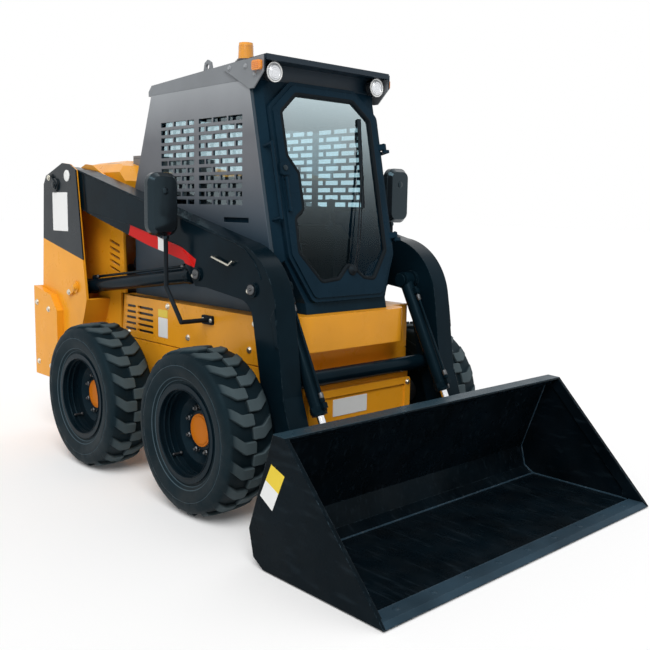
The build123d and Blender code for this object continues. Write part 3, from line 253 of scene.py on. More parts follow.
def glazing(name, tint, mirror_low, mirror_high):
    """Tinted sheet glass with a reflecting film whose share grows up the pane, a painted gradient of reflection.
    """
    f = Finish(name)
    low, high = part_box("door_glass")
    haze = f.mix(f.ramp(f.noise(6.0), 0.3, 0.7), tuple(c * 0.96 for c in tint), tint)
    clear = f.add("ShaderNodeBsdfTransparent", Color=haze)
    film = f.mix(f.noise(3.0), (0.66, 0.84, 0.9), (0.78, 0.92, 0.96))
    shine = f.add("ShaderNodeBsdfAnisotropic", Color=film, Roughness=0.03)
    relief = f.add("ShaderNodeBump", Strength=0.02, Distance=0.001, Height=f.noise(3.0))
    f.put(shine.inputs["Normal"], relief.outputs[0])
    glance = f.math("POWER", f.add("ShaderNodeLayerWeight", Blend=0.5).outputs["Facing"], 5.0)
    # painted gradient of reflection: the film's share grows up the pane
    height = f.math("POWER", f.ramp(f.z, low[2], high[2]), 2.5)
    painted_reflection_share = f.ramp(height, 0.0, 1.0, mirror_low, mirror_high)
    outside = f.math("SUBTRACT", 1.0, f.add("ShaderNodeNewGeometry").outputs["Backfacing"])
    blend = f.add("ShaderNodeMixShader", Fac=f.both(f.math("MAXIMUM", glance, painted_reflection_share), outside))
    f.put(blend.inputs[1], clear.outputs[0])
    f.put(blend.inputs[2], shine.outputs[0])
    f.tree.nodes.remove(f.shader)
    f.put(f.tree.nodes["Material Output"].inputs["Surface"], blend.outputs[0])
    return f.material


YELLOW = (0.8, 0.335, 0.016)
BLACK = (0.0022, 0.0078, 0.0125)
NAVY = (0.0045, 0.0155, 0.027)
GREY = (0.125, 0.133, 0.148)
ORANGE = (0.86, 0.27, 0.02)
RED = (0.55, 0.012, 0.01)
# darker copy of the orange paint for the hub: painted shade inside the rim
SHADED_HUB_ORANGE = (0.56, 0.155, 0.004)
WHITE = (0.8, 0.81, 0.8)
LABEL_YELLOW = (0.8, 0.6, 0.06)
AMBER = (0.9, 0.36, 0.02)
BUCKET_LABEL = [(-825, 412), (-754, 259), (-680, 302), (-747, 441)]  # (y, z) corners, anticlockwise
BUCKET_LABEL_TOP = [(-825, 412), (-789.5, 335.5), (-713.5, 371.5), (-747, 441)]
COOL = (0.5, 0.82, 1.0)  # tint of the reflections on dark paint


def tower_regions(f):
    """Black shield over the top of the outer plates."""
    shield = f.inside([(1270, 1070), (1960, 1217), (1960, 1700), (1270, 1700)])
    return [(f.both(shield, f.outboard(TOWER_FACE - 8)), BLACK)]


def arm_regions(f):
    """Red stripe with a white block on the outer plates."""
    stripe = f.inside([(268, 1110), (690, 1194), (885, 1241), (862, 1300), (380, 1206), (254, 1150)])
    block = f.lengthways(520, 592)
    face = f.outboard(ARM_FACE - 20)
    return [(f.both(stripe, face), RED), (f.both(stripe, face, block), WHITE)]


def wheel_regions(f):
    """Orange hub in the black rim, in a darker orange than the other orange parts as painted shade inside the
    rim.
    """
    hub = f.math("LESS_THAN", f.off_axle(), 0.0768)
    return [(f.both(hub, f.outboard(715)), SHADED_HUB_ORANGE)]


# painted highlight of the sidewall rings, and painted light on the tops of the lugs
RING_HIGHLIGHT_TONE, LUG_TOP_LIGHT_TONE = (0.045, 0.07, 0.085), (0.058, 0.08, 0.088)
TYRE_RINGS = ((0.2555, 0.259), (0.2405, 0.2435), (0.3105, 0.3125))  # radii, in metres
LUG_TOPS = (0.37, 0.384)


def tyre_regions(f):
    """Paler rings on the sidewall, painted highlights of its moulded ridges, and paler tops of the lugs, painted
    light on the tread.
    """
    away = f.off_axle()
    rings = [(f.span(away, *ring), RING_HIGHLIGHT_TONE) for ring in TYRE_RINGS]
    return rings + [(f.ramp(away, *LUG_TOPS), LUG_TOP_LIGHT_TONE)]


def roof_regions(f):
    """Dark navy edge of the visor, and painted shade under the visor."""
    front = f.before(-45)
    # painted shade under the visor, in the navy of its edge
    under = f.both(f.before(110), f.span(f.x, -0.409, 0.409))
    return [(front, NAVY), (under, NAVY)]


def panel_regions(f):
    """A painted gradient of reflection, darker and bluer low down and paler under the roof, and painted shade on
    the inside.
    """
    # painted reflection gradient up the panel
    low, high = f.ramp(f.z, 1.6, 1.2), f.ramp(f.z, 1.74, 2.0)
    # painted shade on the inner faces, inside the cab
    inner = f.span(f.x, -0.4085, 0.4085)
    return [(low, (0.024, 0.052, 0.08)), (high, (0.32, 0.34, 0.36)), (inner, (0.01, 0.026, 0.04))]


def hood_regions(f):
    """Grey air box, and black floors of the slots in the hood and in the box as painted shade in the slots."""
    top = reach("hood", 2, 1)
    box = f.both(f.span(f.x, -0.262, 0.262), f.lengthways(1262, 1398), f.over(f.z, 1.6))
    # black slot floors: painted shade in the recesses
    slots = f.span(f.z, 1.6465, 1.6495)
    return [(box, (0.17, 0.175, 0.18)), (f.both(slots, f.lengthways(1400, 1560)), BLACK),
            (f.span(f.z, (top - 17) / 1000, (top - 15) / 1000), BLACK)]


def tailgate_regions(f):
    """Dark floors of the louvres, painted shade in the recesses."""
    # painted shade on the floors of the louvres
    floors = f.lengthways(1905, 1910)
    return [(f.both(floors, f.over(f.z, 0.7)), BLACK)]


def side_panel_regions(f):
    """Dark floors of the louvres, painted shade in the recesses."""
    # painted shade on the floors of the louvres
    return [(f.both(f.lengthways(700, 1100), f.math("LESS_THAN", f.math("ABSOLUTE", f.x), 0.4885)), BLACK)]


def lamp_regions(f):
    """White front and rear lenses, and tail lights red over amber."""
    rear = f.both(f.behind(1011), f.over(f.z, 1.5))
    tail = f.behind(1936)
    low = f.math("LESS_THAN", f.z, 0.75)
    return [(f.before(-27.4), WHITE), (rear, WHITE), (tail, RED), (f.both(tail, low), AMBER)]


def beacon_regions(f):
    """Amber lens of the beacon, and orange marker lights at the roof's corners."""
    lens = f.over(f.z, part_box("beacon")[1][2] - 0.075)
    return [(lens, AMBER), (f.outboard(417), ORANGE)]


def bucket_regions(f):
    """Dull scrape marks, a paler top lip as a painted highlight, and a blank label on each side, white below and
    yellow above.
    """
    marks = f.add("ShaderNodeTexNoise", Scale=9.0, Detail=5.0)
    stretch = f.add("ShaderNodeVectorMath", {"operation": "MULTIPLY"})
    f.put(stretch.inputs[0], f.place)
    stretch.inputs[1].default_value = (6, 0.7, 3)
    f.put(marks.inputs["Vector"], stretch.outputs[0])
    side = f.outboard(reach("bucket", 0, 1) - 2)
    label, upper = f.inside(BUCKET_LABEL), f.inside(BUCKET_LABEL_TOP)
    # painted highlight along the bucket's top lip
    painted_lip_highlight = f.over(f.z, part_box("bucket")[1][2] - 0.004)
    scrapes = f.ramp(marks.outputs["Fac"], 0.56, 0.72, 0.0, 0.5)
    return [(scrapes, (0.012, 0.02, 0.027)), (painted_lip_highlight, (0.02, 0.042, 0.058)),
            (f.both(side, label), WHITE), (f.both(side, upper), LABEL_YELLOW)]


# what the dark and the yellow paints share
dark = dict(shine=0.06, tint=COOL, dust=0.012)
bright = dict(rough=0.3, shine=0.2, coat=0.08, wear_and_sheen_tone=(0.5, 0.25, 0.06), worn=0.12)
paint_yellow = coating("paint_yellow", YELLOW, **bright)
paint_tower = coating("paint_tower", YELLOW, regions=tower_regions, **bright)
paint_hood = coating("paint_hood", YELLOW, regions=hood_regions, **bright)
paint_gate = coating("paint_gate", YELLOW, regions=tailgate_regions, **bright)
paint_side = coating("paint_side", YELLOW, regions=side_panel_regions, **bright)
# paler scuffed edges on the arms: partly wear, partly a painted highlight along the edges
paint_arms = coating("paint_arms", BLACK, rough=0.2, spread=0.3, wear_and_sheen_tone=(0.1, 0.15, 0.18), worn=0.5, edge=0.0045,
                     regions=arm_regions, **dark)
paint_black = coating("paint_black", BLACK, rough=0.22, spread=0.3, wear_and_sheen_tone=(0.05, 0.08, 0.1), **dark)
# paler scuffed edges on the bucket: partly wear, partly a painted highlight along the edges
paint_bucket = coating("paint_bucket", (0.0016, 0.004, 0.0062), rough=0.27, spread=0.4, wear_and_sheen_tone=(0.1, 0.16, 0.2),
                       worn=0.7, edge=0.0045, regions=bucket_regions, shine=0.05, tint=COOL, dust=0.008)
paint_edge = coating("paint_edge", (0.02, 0.04, 0.058), rough=0.34, spread=0.25, wear_and_sheen_tone=(0.3, 0.33, 0.36), worn=0.6,
                     bump=0.15, grain=120, **dark)
paint_cab = coating("paint_cab", NAVY, rough=0.26, spread=0.2, wear_and_sheen_tone=(0.05, 0.09, 0.12), **dark)
paint_panel = coating("paint_panel", GREY, rough=0.42, spread=0.08, bump=0.08, grain=420, shine=0.3,
                      wear_and_sheen_tone=(0.25, 0.25, 0.26), regions=panel_regions)
paint_roof = coating("paint_roof", (0.2, 0.215, 0.23), rough=0.42, spread=0.08, bump=0.08, grain=420, shine=0.3,
                     wear_and_sheen_tone=(0.25, 0.25, 0.26), regions=roof_regions)
plastic = coating("plastic", (0.012, 0.015, 0.018), rough=0.5, bump=0.2, grain=500, spread=0.15, **dark)
rubber = coating("rubber", (0.0035, 0.009, 0.0125), rough=0.6, bump=0.22, grain=340, spread=0.25, shine=0.14,
                 tint=COOL, wear_and_sheen_tone=(0.07, 0.08, 0.085), worn=0.35, dust=0.05, regions=tyre_regions)
seal_rubber = coating("seal_rubber", (0.008, 0.01, 0.012), rough=0.6, bump=0.15, grain=400, spread=0.15, **dark)
zinc = coating("zinc", (0.62, 0.6, 0.52), rough=0.3, metal=1.0, wear_and_sheen_tone=(0.8, 0.8, 0.75), grain=600, spread=0.12)
chrome = coating("chrome", (0.78, 0.79, 0.81), rough=0.07, metal=1.0, bump=0.01, worn=0.0, dust=0.02)
pin_steel = coating("pin_steel", (0.09, 0.095, 0.1), rough=0.32, metal=0.8, grain=500, worn=0.5)
cast = coating("cast", (0.03, 0.033, 0.036), rough=0.6, metal=0.2, bump=0.4, grain=150, spread=0.2)
rim_paint = coating("rim_paint", BLACK, rough=0.3, spread=0.25, wear_and_sheen_tone=(0.1, 0.1, 0.1), regions=wheel_regions,
                    shine=0.1, tint=COOL, dust=0.02)
beacon_finish = coating("beacon_finish", (0.02, 0.022, 0.025), rough=0.14, coat=0.5, bump=0.3, grain=70,
                        regions=beacon_regions)
lamp_finish = coating("lamp_finish", (0.02, 0.022, 0.025), rough=0.2, coat=0.6, bump=0.1, regions=lamp_regions,
                      dust=0.01)
lens_clear = coating("lens_clear", (0.78, 0.8, 0.83), rough=0.08, metal=0.5, coat=1.0, bump=0.8, grain=55,
                     dust=0.0, worn=0.0)
mirror_back = coating("mirror_back", (0.008, 0.01, 0.012), rough=0.1, shine=0.4, tint=COOL)
label_white = coating("label_white", WHITE, rough=0.4, worn=0.05, spread=0.02)
label_yellow = coating("label_yellow", LABEL_YELLOW, rough=0.4, worn=0.05, spread=0.03)
fabric = coating("fabric", (0.02, 0.022, 0.026), rough=0.8, bump=0.5, grain=700, spread=0.2, edge=0.008)
# door pane with a painted reflection gradient, weak at the foot and strong at the head
door_pane = glazing("door_pane", (0.8, 0.93, 0.97), 0.01, 0.68)
side_pane = glazing("side_pane", (0.85, 0.92, 0.94), 0.16, 0.2)

CAD_FINISH = {
    paint_yellow: ["chassis", "nose_panel", "front_plate", "rear_bumpers"],
    paint_tower: ["towers"],
    paint_hood: ["hood"],
    paint_gate: ["tailgate"],
    paint_side: ["side_panels"],
    paint_arms: ["lift_arms"],
    paint_black: ["coupler"] + [f"{kind}_barrel_{side}" for kind in ("lift", "tilt") for side in SIDES],
    paint_bucket: ["bucket"],
    paint_edge: ["cutting_edge"],
    paint_cab: ["cab_frame", "door_frame"],
    paint_roof: ["cab_roof"],
    paint_panel: ["cab_side_panels"],
    plastic: ["control_pods", "mirror_arms", "seat_base"],
    mirror_back: ["mirrors"],
    cast: ["engine_block", "axle_housings"],
    chrome: [f"{kind}_rod_{side}" for kind in ("lift", "tilt") for side in SIDES],
    rim_paint: [f"wheel_{end}_{side}" for end in ENDS for side in SIDES],
    rubber: [f"tyre_{end}_{side}" for end in ENDS for side in SIDES],
    beacon_finish: ["beacon"],
    lamp_finish: ["work_lights"],
    fabric: ["seat"],
    door_pane: ["door_glass"],
    side_pane: ["cab_glass"],
}
for material, names in CAD_FINISH.items():
    for name in names:
        slots = nodes[name].material_slots
        if not slots:
            nodes[name].data.materials.append(material)
        for slot in slots:
            slot.material = material


# ------------------------------------------------------------------ ways of making meshes
def piece(name, mesh, material, body, smooth=35.0):
    """A mesh as a piece that rides on a body."""
    data = bpy.data.meshes.new(name)
    bmesh.ops.recalc_face_normals(mesh, faces=mesh.faces)
    mesh.to_mesh(data)
    mesh.free()
    data.materials.append(material)
    obj = bpy.data.objects.new(name, data)
    scene.collection.objects.link(obj)
    data.polygons.foreach_set("use_smooth", [True] * len(data.polygons))
    data.set_sharp_from_angle(angle=math.radians(smooth))
    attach(obj, body)
    return obj


def skin(mesh, rings, closed=False):
    """Faces between rings of vertices, and at both ends of the run unless it closes on itself."""
    pairs = list(zip(rings, rings[1:] + rings[:1])) if closed else list(zip(rings, rings[1:]))
    for ring, after in pairs:
        for j, vert in enumerate(ring):
            k = (j + 1) % len(ring)
            mesh.faces.new([vert, ring[k], after[k], after[j]])
    if not closed:
        mesh.faces.new(rings[0][::-1])
        mesh.faces.new(rings[-1])


def lathe(mesh, profile, centre, axis, segments, closed=True):
    """Turns (along, radius) points, in millimetres, about a line through centre. An open profile is capped."""
    axis = Vector(axis).normalized()
    u = axis.orthogonal().normalized()
    v = axis.cross(u)
    rings = []
    for along, radius in profile:
        ring = []
        for i in range(segments):
            turn = 2 * math.pi * i / segments
            out = u * math.cos(turn) + v * math.sin(turn)
            ring.append(mesh.verts.new(Vector(centre) + axis * along / 1000 + out * radius / 1000))
        rings.append(ring)
    skin(mesh, rings, closed)


def rod(mesh, points, radius, sides=10, closed=False, flat=1.0):
    """Round bar along a run of places in the row frame, mitred at its bends. flat squashes its section."""
    count = len(points)
    steps = [(points[(i + 1) % count] - points[i]).normalized() for i in range(count)]
    if not closed:
        steps[-1] = steps[-2]
    side = steps[0].orthogonal().normalized()
    rings = []
    for i, point in enumerate(points):
        come = steps[i - 1] if i or closed else steps[0]
        leave = steps[i]
        mitre = (come + leave).normalized()
        side = (side - come * side.dot(come)).normalized()
        across = come.cross(side)
        ring = []
        for k in range(sides):
            turn = 2 * math.pi * (k + 0.5) / sides
            out = (side * math.cos(turn) + across * math.sin(turn) * flat) * radius / 1000
            ring.append(mesh.verts.new(point + out - come * (out.dot(mitre) / come.dot(mitre))))
        rings.append(ring)
    skin(mesh, rings, closed)


def rounded(points, radius, steps=4):
    """Outline with its corners rounded."""
    result = []
    for i, (x, y) in enumerate(points):
        here = Vector((x, y))
        back, ahead = Vector(points[i - 1]) - here, Vector(points[(i + 1) % len(points)]) - here
        cut = min(radius / max(math.tan(back.angle(ahead) / 2), 0.05), back.length * 0.48, ahead.length * 0.48)
        a, b = here + back.normalized() * cut, here + ahead.normalized() * cut
        for k in range(steps + 1):
            t = k / steps
            result.append(tuple(a * (1 - t) ** 2 + here * 2 * t * (1 - t) + b * t ** 2))
    return result


def box_outline(x, y, width, height, radius=6.0):
    w, h = width / 2, height / 2
    return rounded([(x - w, y - h), (x + w, y - h), (x + w, y + h), (x - w, y + h)], radius)


def slab(mesh, outline, place, thick, ease=1.0):
    """Plate with eased edges; place(a, b, out) gives the point of the row frame over (a, b)."""
    centre = sum((Vector(p) for p in outline), Vector((0, 0))) / len(outline)
    rings = []
    for out, inset in ((0, 0), (max(thick - ease, 0), 0), (thick, ease)):
        ring = []
        for a, b in outline:
            inward = (centre - Vector((a, b))).normalized() * inset
            ring.append(mesh.verts.new(place(a + inward.x, b + inward.y, out)))
        rings.append(ring)
    skin(mesh, rings)


# places for a slab: over a plane of the machine, out millimetres away from it
def on_side(x):
    return lambda a, b, out: at(x + math.copysign(out, x), a, b)


def on_front(y):
    return lambda a, b, out: at(a, y - out, b)


def on_rear(y):
    return lambda a, b, out: at(a, y + out, b)


HEX_CORNER = 0.577  # out to a hexagon's corner, over its width across the flats


def bolt(mesh, place, axis, across=22.0, high=9.0):
    """Hex head on a washer; place in millimetres, axis pointing out of the surface."""
    centre = at(*place)
    lathe(mesh, [(-1, across * 0.75), (1.6, across * 0.75), (2.4, across * 0.7)], centre, axis, 20, closed=False)
    corner = across * HEX_CORNER
    lathe(mesh, [(2, corner), (high - 1.6, corner), (high, across * 0.5)], centre, axis, 6, closed=False)


def bolts(name, body, spots, material=None, across=22.0, high=9.0):
    """Joined bolts, each given as (place, axis)."""
    mesh = bmesh.new()
    for place, axis in spots:
        bolt(mesh, place, axis, across, high)
    return piece(name, mesh, material or zinc, body, 25)


# ------------------------------------------------------------------ tyres
# half the section of the carcass, as (distance from its middle plane, radius)
TYRE_PROFILE = [
    (97, 211), (104, 214), (106, 226), (104, 238), (110, 243), (116, 255), (119, 257), (121, 263), (125, 274),
    (129, 292), (130.8, 300), (130.8, 309), (129, 312), (129, 316), (130, 319), (129.5, 330), (126, 344),
    (121, 355), (114, 362), (104, 365.5), (60, 367), (0, 367.5),
]
LUGS, TREAD_RADIUS, CARCASS_RADIUS = 20, 386, 352
# along a lug: distance from the tread's middle, how far ahead it lies, half its width, and radius of its top
LUG_RUN = [
    (-6, 0, 23, 385.6), (-2, 0, 26.5, 386.4), (44, 0, 27, 386), (54, -3, 27, 385.4), (94, -35, 26.5, 380.5),
    (106, -45, 26, 373), (117, -53, 25.5, 358), (125, -59, 25, 341), (130, -63, 23, 326), (130.5, -65, 20, 316),
]


def add_lug(mesh, centre, flank, start):
    """One tread block, from just past the middle of the tread to the shoulder; start in radians."""
    rows = []
    for away, ahead, half, top in LUG_RUN:
        row = []
        foot = CARCASS_RADIUS if top > 360 else top - 14
        rise = [(1.12, foot), (1.04, top - 5), (0.9, top)]
        for k, radius in [(-k, radius) for k, radius in rise] + rise[::-1]:
            turn = start + (ahead + k * half) / TREAD_RADIUS
            out = Vector((flank * away, radius * math.cos(turn), radius * math.sin(turn))) / 1000
            row.append(mesh.verts.new(centre + out))
        rows.append(row)
    skin(mesh, rows)


def build_tyre(end, side, s):
    """Carcass and two rows of lugs, half a pitch apart."""
    mesh = bmesh.new()
    centre = middle(f"tyre_{end}_{side}")
    section = TYRE_PROFILE + [(-a, r) for a, r in TYRE_PROFILE[-2::-1]]
    lathe(mesh, section, centre, (1, 0, 0), 120)
    for flank in (-1, 1):
        shift = 0 if flank == s else 0.5
        for i in range(LUGS):
            add_lug(mesh, centre, flank, -math.pi / 2 + 2 * math.pi * (i + shift) / LUGS)
    tyre = piece(f"tread_{end}_{side}", mesh, rubber, f"{end}_{side}_wheel", 28)
    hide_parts(f"tyre_{end}_{side}")


NUTS, NUT_CIRCLE = 8, 104.5


def build_wheel_trim(end, side, s):
    """Nuts on their studs, rings rolled into the rim, and the valve."""
    body, axis = f"{end}_{side}_wheel", (s, 0, 0)
    centre = middle(f"tyre_{end}_{side}")
    mesh = bmesh.new()
    for i in range(NUTS):
        turn = 2 * math.pi * (i + 0.5) / NUTS
        foot = centre + Vector((s * 3, NUT_CIRCLE * math.cos(turn), NUT_CIRCLE * math.sin(turn))) / 1000
        lathe(mesh, [(0, 15.5), (4, 15), (5, 13)], foot, axis, 16, closed=False)
        lathe(mesh, [(4, 13.8), (16, 13.8), (19, 11)], foot, axis, 6, closed=False)
        lathe(mesh, [(18, 7.5), (27, 7.5), (28.5, 6)], foot, axis, 10, closed=False)
    turn = math.radians(225)
    valve = centre + Vector((0, -math.cos(turn), math.sin(turn))) * 0.186 + Vector((s * 0.036, 0, 0))
    lathe(mesh, [(0, 9), (6, 8), (8, 5), (30, 4.5), (31, 5.5), (46, 5.5), (48, 4)], valve, axis, 12, closed=False)
    piece(f"wheel_nuts_{end}_{side}", mesh, pin_steel, body, 25)
    mesh = bmesh.new()
    for along, radius in ((112, 203.5), (86, 199), (60, 199)):
        bead = [(-5, 203), (-4, radius - 3), (0, radius - 4.5), (4, radius - 3), (5, 203)]
        lathe(mesh, [(along + a, r) for a, r in bead], centre, axis, 72)
    lathe(mesh, [(20, 70), (25, 66), (27, 58), (26, 20)], centre, axis, 48, closed=False)
    piece(f"rim_rings_{end}_{side}", mesh, rim_paint, body, 30)


for end in ENDS:
    for side, s in SIDES.items():
        build_tyre(end, side, s)
        build_wheel_trim(end, side, s)


# ------------------------------------------------------------------ chassis, panels and towers
PANEL_BOLTS = [(453, 738), (-55, 742), (-95, 870), (640, 880), (1040, 700)]  # (y, z)
BUMPER_BOLTS = [(1729, 770), (1711, 422), (1880, 430), (1885, 800)]


def build_side_trim():
    """Bolts, blank plates, pin keepers and pin covers on the outer faces."""
    tower, bumper, panel = TOWER_FACE, reach("rear_bumpers", 0, 1), reach("side_panels", 0, 1)
    low_bolts, tower_bolts = [], []
    plates, white, yellow = bmesh.new(), bmesh.new(), bmesh.new()
    for s in SIDES.values():
        axis = (s, 0, 0)
        low_bolts += [((s * panel, *spot), axis) for spot in PANEL_BOLTS]
        tower_bolts += [((s * bumper, *spot), axis) for spot in BUMPER_BOLTS]
        # blank plates on the tower and the side panel
        slab(white, box_outline(1622, 1358, 192, 226, 8), on_side(s * tower), 1.6)
        slab(white, box_outline(688, 762, 92, 106, 4), on_side(s * panel), 1.2)
        slab(yellow, box_outline(688, 838, 92, 42, 4), on_side(s * panel), 1.2)
        # pin cover, and keeper plates of the fixed pins
        cover = [(0, 33), (4, 33), (6, 30), (6.5, 14), (5, 12)]
        lathe(white, cover, at(s * tower, 1524, 1566), axis, 40, closed=False)
        for (y, z), turn in ((ARM_PIVOT, 0.6), (LIFT_BASE, -0.5)):
            outline = [(y + math.cos(turn) * a - math.sin(turn) * b, z + math.sin(turn) * a + math.cos(turn) * b)
                       for a, b in box_outline(34, 0, 118, 40, 12)]
            slab(plates, outline, on_side(s * (tower + 8)), 8, 1.5)
            away = (y + math.cos(turn) * 74, z + math.sin(turn) * 74)
            tower_bolts.append(((s * (tower + 15), *away), axis))
            lathe(plates, [(14, 17), (20, 17), (22, 14)], at(s * tower, y, z), axis, 24, closed=False)
    bolts("side_bolts", "machine", low_bolts)
    bolts("tower_bolts", "machine", tower_bolts, across=24)
    piece("pin_keepers", plates, paint_tower, "machine")
    piece("blank_plates_side", white, label_white, "machine")
    piece("blank_plates_yellow", yellow, label_yellow, "machine")


def build_front_trim():
    face = reach("front_plate", 1, 0)
    white = bmesh.new()
    slab(white, box_outline(-75, 462, 230, 84, 4), on_front(face + 8), 1.4)
    piece("blank_plate_front", white, label_white, "machine")
    spots = [((s * 328, face, z), (0, -1, 0)) for s in (-1, 1) for z in (360, 528)]
    bolts("front_bolts", "machine", spots, across=20)


def build_rear_trim():
    face = reach("tailgate", 1, 0) + 34
    light = reach("work_lights", 1, 1)
    white, dark_parts, lamps = bmesh.new(), bmesh.new(), bmesh.new()
    slab(white, box_outline(0, 560, 500, 112, 6), on_rear(face - 12), 3, 1)
    # handle in the recessed pull, rubber stops and a lock
    slab(dark_parts, box_outline(-365, 690, 22, 96, 9), on_rear(face - 12), 14, 3)
    lathe(dark_parts, [(0, 17), (5, 17), (7, 14)], at(-365, face, 800), (0, 1, 0), 24, closed=False)
    for s in (-1, 1):
        for z in (420, 1400):
            lathe(dark_parts, [(0, 16), (5, 15), (9, 11)], at(s * 370, face, z), (0, 1, 0), 20, closed=False)
    piece("blank_plate_rear", white, label_white, "tailgate")
    piece("gate_handle", dark_parts, plastic, "tailgate")
    spots = [((x, face, z), (0, 1, 0)) for x in (-390, 0, 390) for z in (385, 1425)]
    bolts("gate_bolts", "tailgate", spots, across=16, high=6)
    # ribs of the tail light lenses
    for s in (-1, 1):
        for k in range(6):
            z = 720 + 20 * k
            rod(lamps, [at(s * 555 - 24, light, z), at(s * 555 + 24, light, z)], 2.2, 6)
    piece("tail_light_ribs", lamps, lamp_finish, "machine")


# ------------------------------------------------------------------ arms and cylinders
def pin_end(mesh, place, s, radius=24.0):
    """Turned end of a pin with its grease nipple, on a boss."""
    face = [(0, radius), (6, radius), (9, radius - 4), (9, 8), (6, 6)]
    nipple = [(5, 5), (12, 5), (13, 3), (19, 3.4), (21, 1.5)]
    lathe(mesh, face, at(*place), (s, 0, 0), 28, closed=False)
    lathe(mesh, nipple, at(*place), (s, 0, 0), 8, closed=False)


def build_arm_trim():
    pins, beads, handle, spots = bmesh.new(), bmesh.new(), bmesh.new(), []
    for s in SIDES.values():
        for y, z in (LIFT_EYE, TILT_BASE):
            pin_end(pins, (s * (ARM_FACE + 10), y, z), s)
            spots.append(((s * (ARM_FACE + 9), y + 26, z - 8), (s, 0, 0)))
        pin_end(pins, (s * COUPLER_FACE, *BUCKET_PIVOT), s, 18)
        # welds between the side plate and the flanges of the boom, and at the foot of the leg
        for run in ([(1500, 1612), (1447, 1594), (-55, 1243), (-130, 1216), (-200, 1163), (-247, 1090)],
                    [(262, 1104), (380, 1206), (862, 1300), (1337, 1362)],
                    [(-405, 576), (-452, 440), (-512, 250)]):
            rod(beads, [at(s * ARM_FACE, y, z) for y, z in run], 4, 6)
        # light grab rod on the outside of the boom
        run = [(99, 1171, 0), (99, 1171, 16), (-24, 1138, 16), (-51, 1156, 16), (-51, 1156, 0)]
        rod(handle, [at(s * (ARM_FACE + out), y, z) for y, z, out in run], 5, 8)
    piece("arm_pins", pins, pin_steel, "arms")
    piece("arm_welds", beads, paint_arms, "arms")
    piece("arm_rods", handle, zinc, "arms")
    bolts("arm_bolts", "arms", spots, across=15, high=6)


def build_cylinder_trim(kind, side, s):
    """Hose tails, gland nut and wiper ring of a cylinder, worked out from its barrel and rod."""
    base, eye, radius, length, x = {
        "lift": (LIFT_BASE, LIFT_EYE, 38, 1090, 530),
        "tilt": (TILT_BASE, TILT_EYE, 34, 610, 425),
    }[kind]
    start, end = at(s * x, *base), at(s * x, *eye)
    along = (end - start).normalized()
    off = Vector((0, along.z, -along.y))  # towards the pressure pipe
    mesh = bmesh.new()
    gland = start + along * (length - 40) / 1000
    nut = [(0, 2), (4, 5), (26, 5), (30, 2), (40, -4), (43, -10)]
    lathe(mesh, [(a, radius + r) for a, r in nut], gland, along, 8, closed=False)
    for spot in (74, length - 66):
        point = start + along * spot / 1000 + off * (radius + 12) / 1000
        lathe(mesh, [(0, 12), (16, 12), (18, 10)], point, along, 6, closed=False)
        lathe(mesh, [(-14, 9), (0, 9)], point, along, 10, closed=False)
    piece(f"{kind}_fittings_{side}", mesh, paint_black, f"{kind}_barrel_{side}", 28)
    mesh = bmesh.new()
    for spot in (104, length - 92):
        point = start + along * spot / 1000 + off * (radius + 12) / 1000
        lathe(mesh, [(0, 10.5), (3, 11.5), (24, 11.5), (27, 9), (30, 8.5)], point, along, 12, closed=False)
    piece(f"{kind}_ferrules_{side}", mesh, pin_steel, f"{kind}_barrel_{side}", 28)


build_side_trim()
build_front_trim()
build_rear_trim()
build_arm_trim()
for kind in ("lift", "tilt"):
    for side, s in SIDES.items():
        build_cylinder_trim(kind, side, s)


# ------------------------------------------------------------------ bucket
def build_bucket_trim():
    """Bolts of the cutting edge, and welds along the inner corners."""
    half = reach("bucket", 0, 1)
    plough, welds = bmesh.new(), bmesh.new()
    for i in range(9):
        spot = at((i - 4) * 0.215 * half, -1283, 22)
        lathe(plough, [(-2, 15), (0.8, 15), (1.6, 13)], spot, (0, 0, 1), 16, closed=False)
        lathe(plough, [(1, 7), (2.2, 7)], spot, (0, 0, 1), 4, closed=False)
    inner = half - 13
    for s in (-1, 1):
        run = [(-1240, 17), (-704, 17), (-648, 50), (-622, 156), (-764, 552)]
        rod(welds, [at(s * inner, y, z) for y, z in run], 5, 6)
    rod(welds, [at(-inner, -704, 18), at(inner, -704, 18)], 5, 6)
    rod(welds, [at(-inner, -1251, 19), at(inner, -1251, 19)], 4, 6)
    piece("plough_bolts", plough, paint_edge, "bucket_assembly", 25)
    piece("bucket_welds", welds, paint_edge, "bucket_assembly")


build_bucket_trim()

# ------------------------------------------------------------------ door
DOOR_FOOT, DOOR_HEAD = (-191.0, 950.0), (25.0, 1954.0)  # slope of the cab's front, as (y, z)
DOOR_SLOPE = Vector((DOOR_HEAD[0] - DOOR_FOOT[0], DOOR_HEAD[1] - DOOR_FOOT[1])).normalized()
# outlines in the door's slope, as (x, z)
PANE_OUTLINE = [
    (-175, 1050), (-295, 1190), (-290, 1350), (-235, 1390), (-235, 1560), (-295, 1640), (-297, 1845),
    (-190, 1935), (190, 1935), (297, 1845), (292, 1190), (180, 1050), (110, 1060), (20, 1130), (-60, 1060),
]
DOORWAY = [
    (-212, 1006), (-326, 1204), (-326, 1852), (-192, 1950), (192, 1950), (326, 1852), (326, 1204), (212, 1006),
]
BLADE_LOW, BLADE_TOP = Vector((166, 1403)), Vector((219, 1848))  # ends of the wiper's blade


def on_door(x, z, out):
    """Place over the slope of the cab's front at height z, out millimetres in front of it."""
    along = (z - DOOR_FOOT[1]) / DOOR_SLOPE.y
    return at(x, DOOR_FOOT[0] + along * DOOR_SLOPE.x - out * DOOR_SLOPE.y, z + out * DOOR_SLOPE.x)


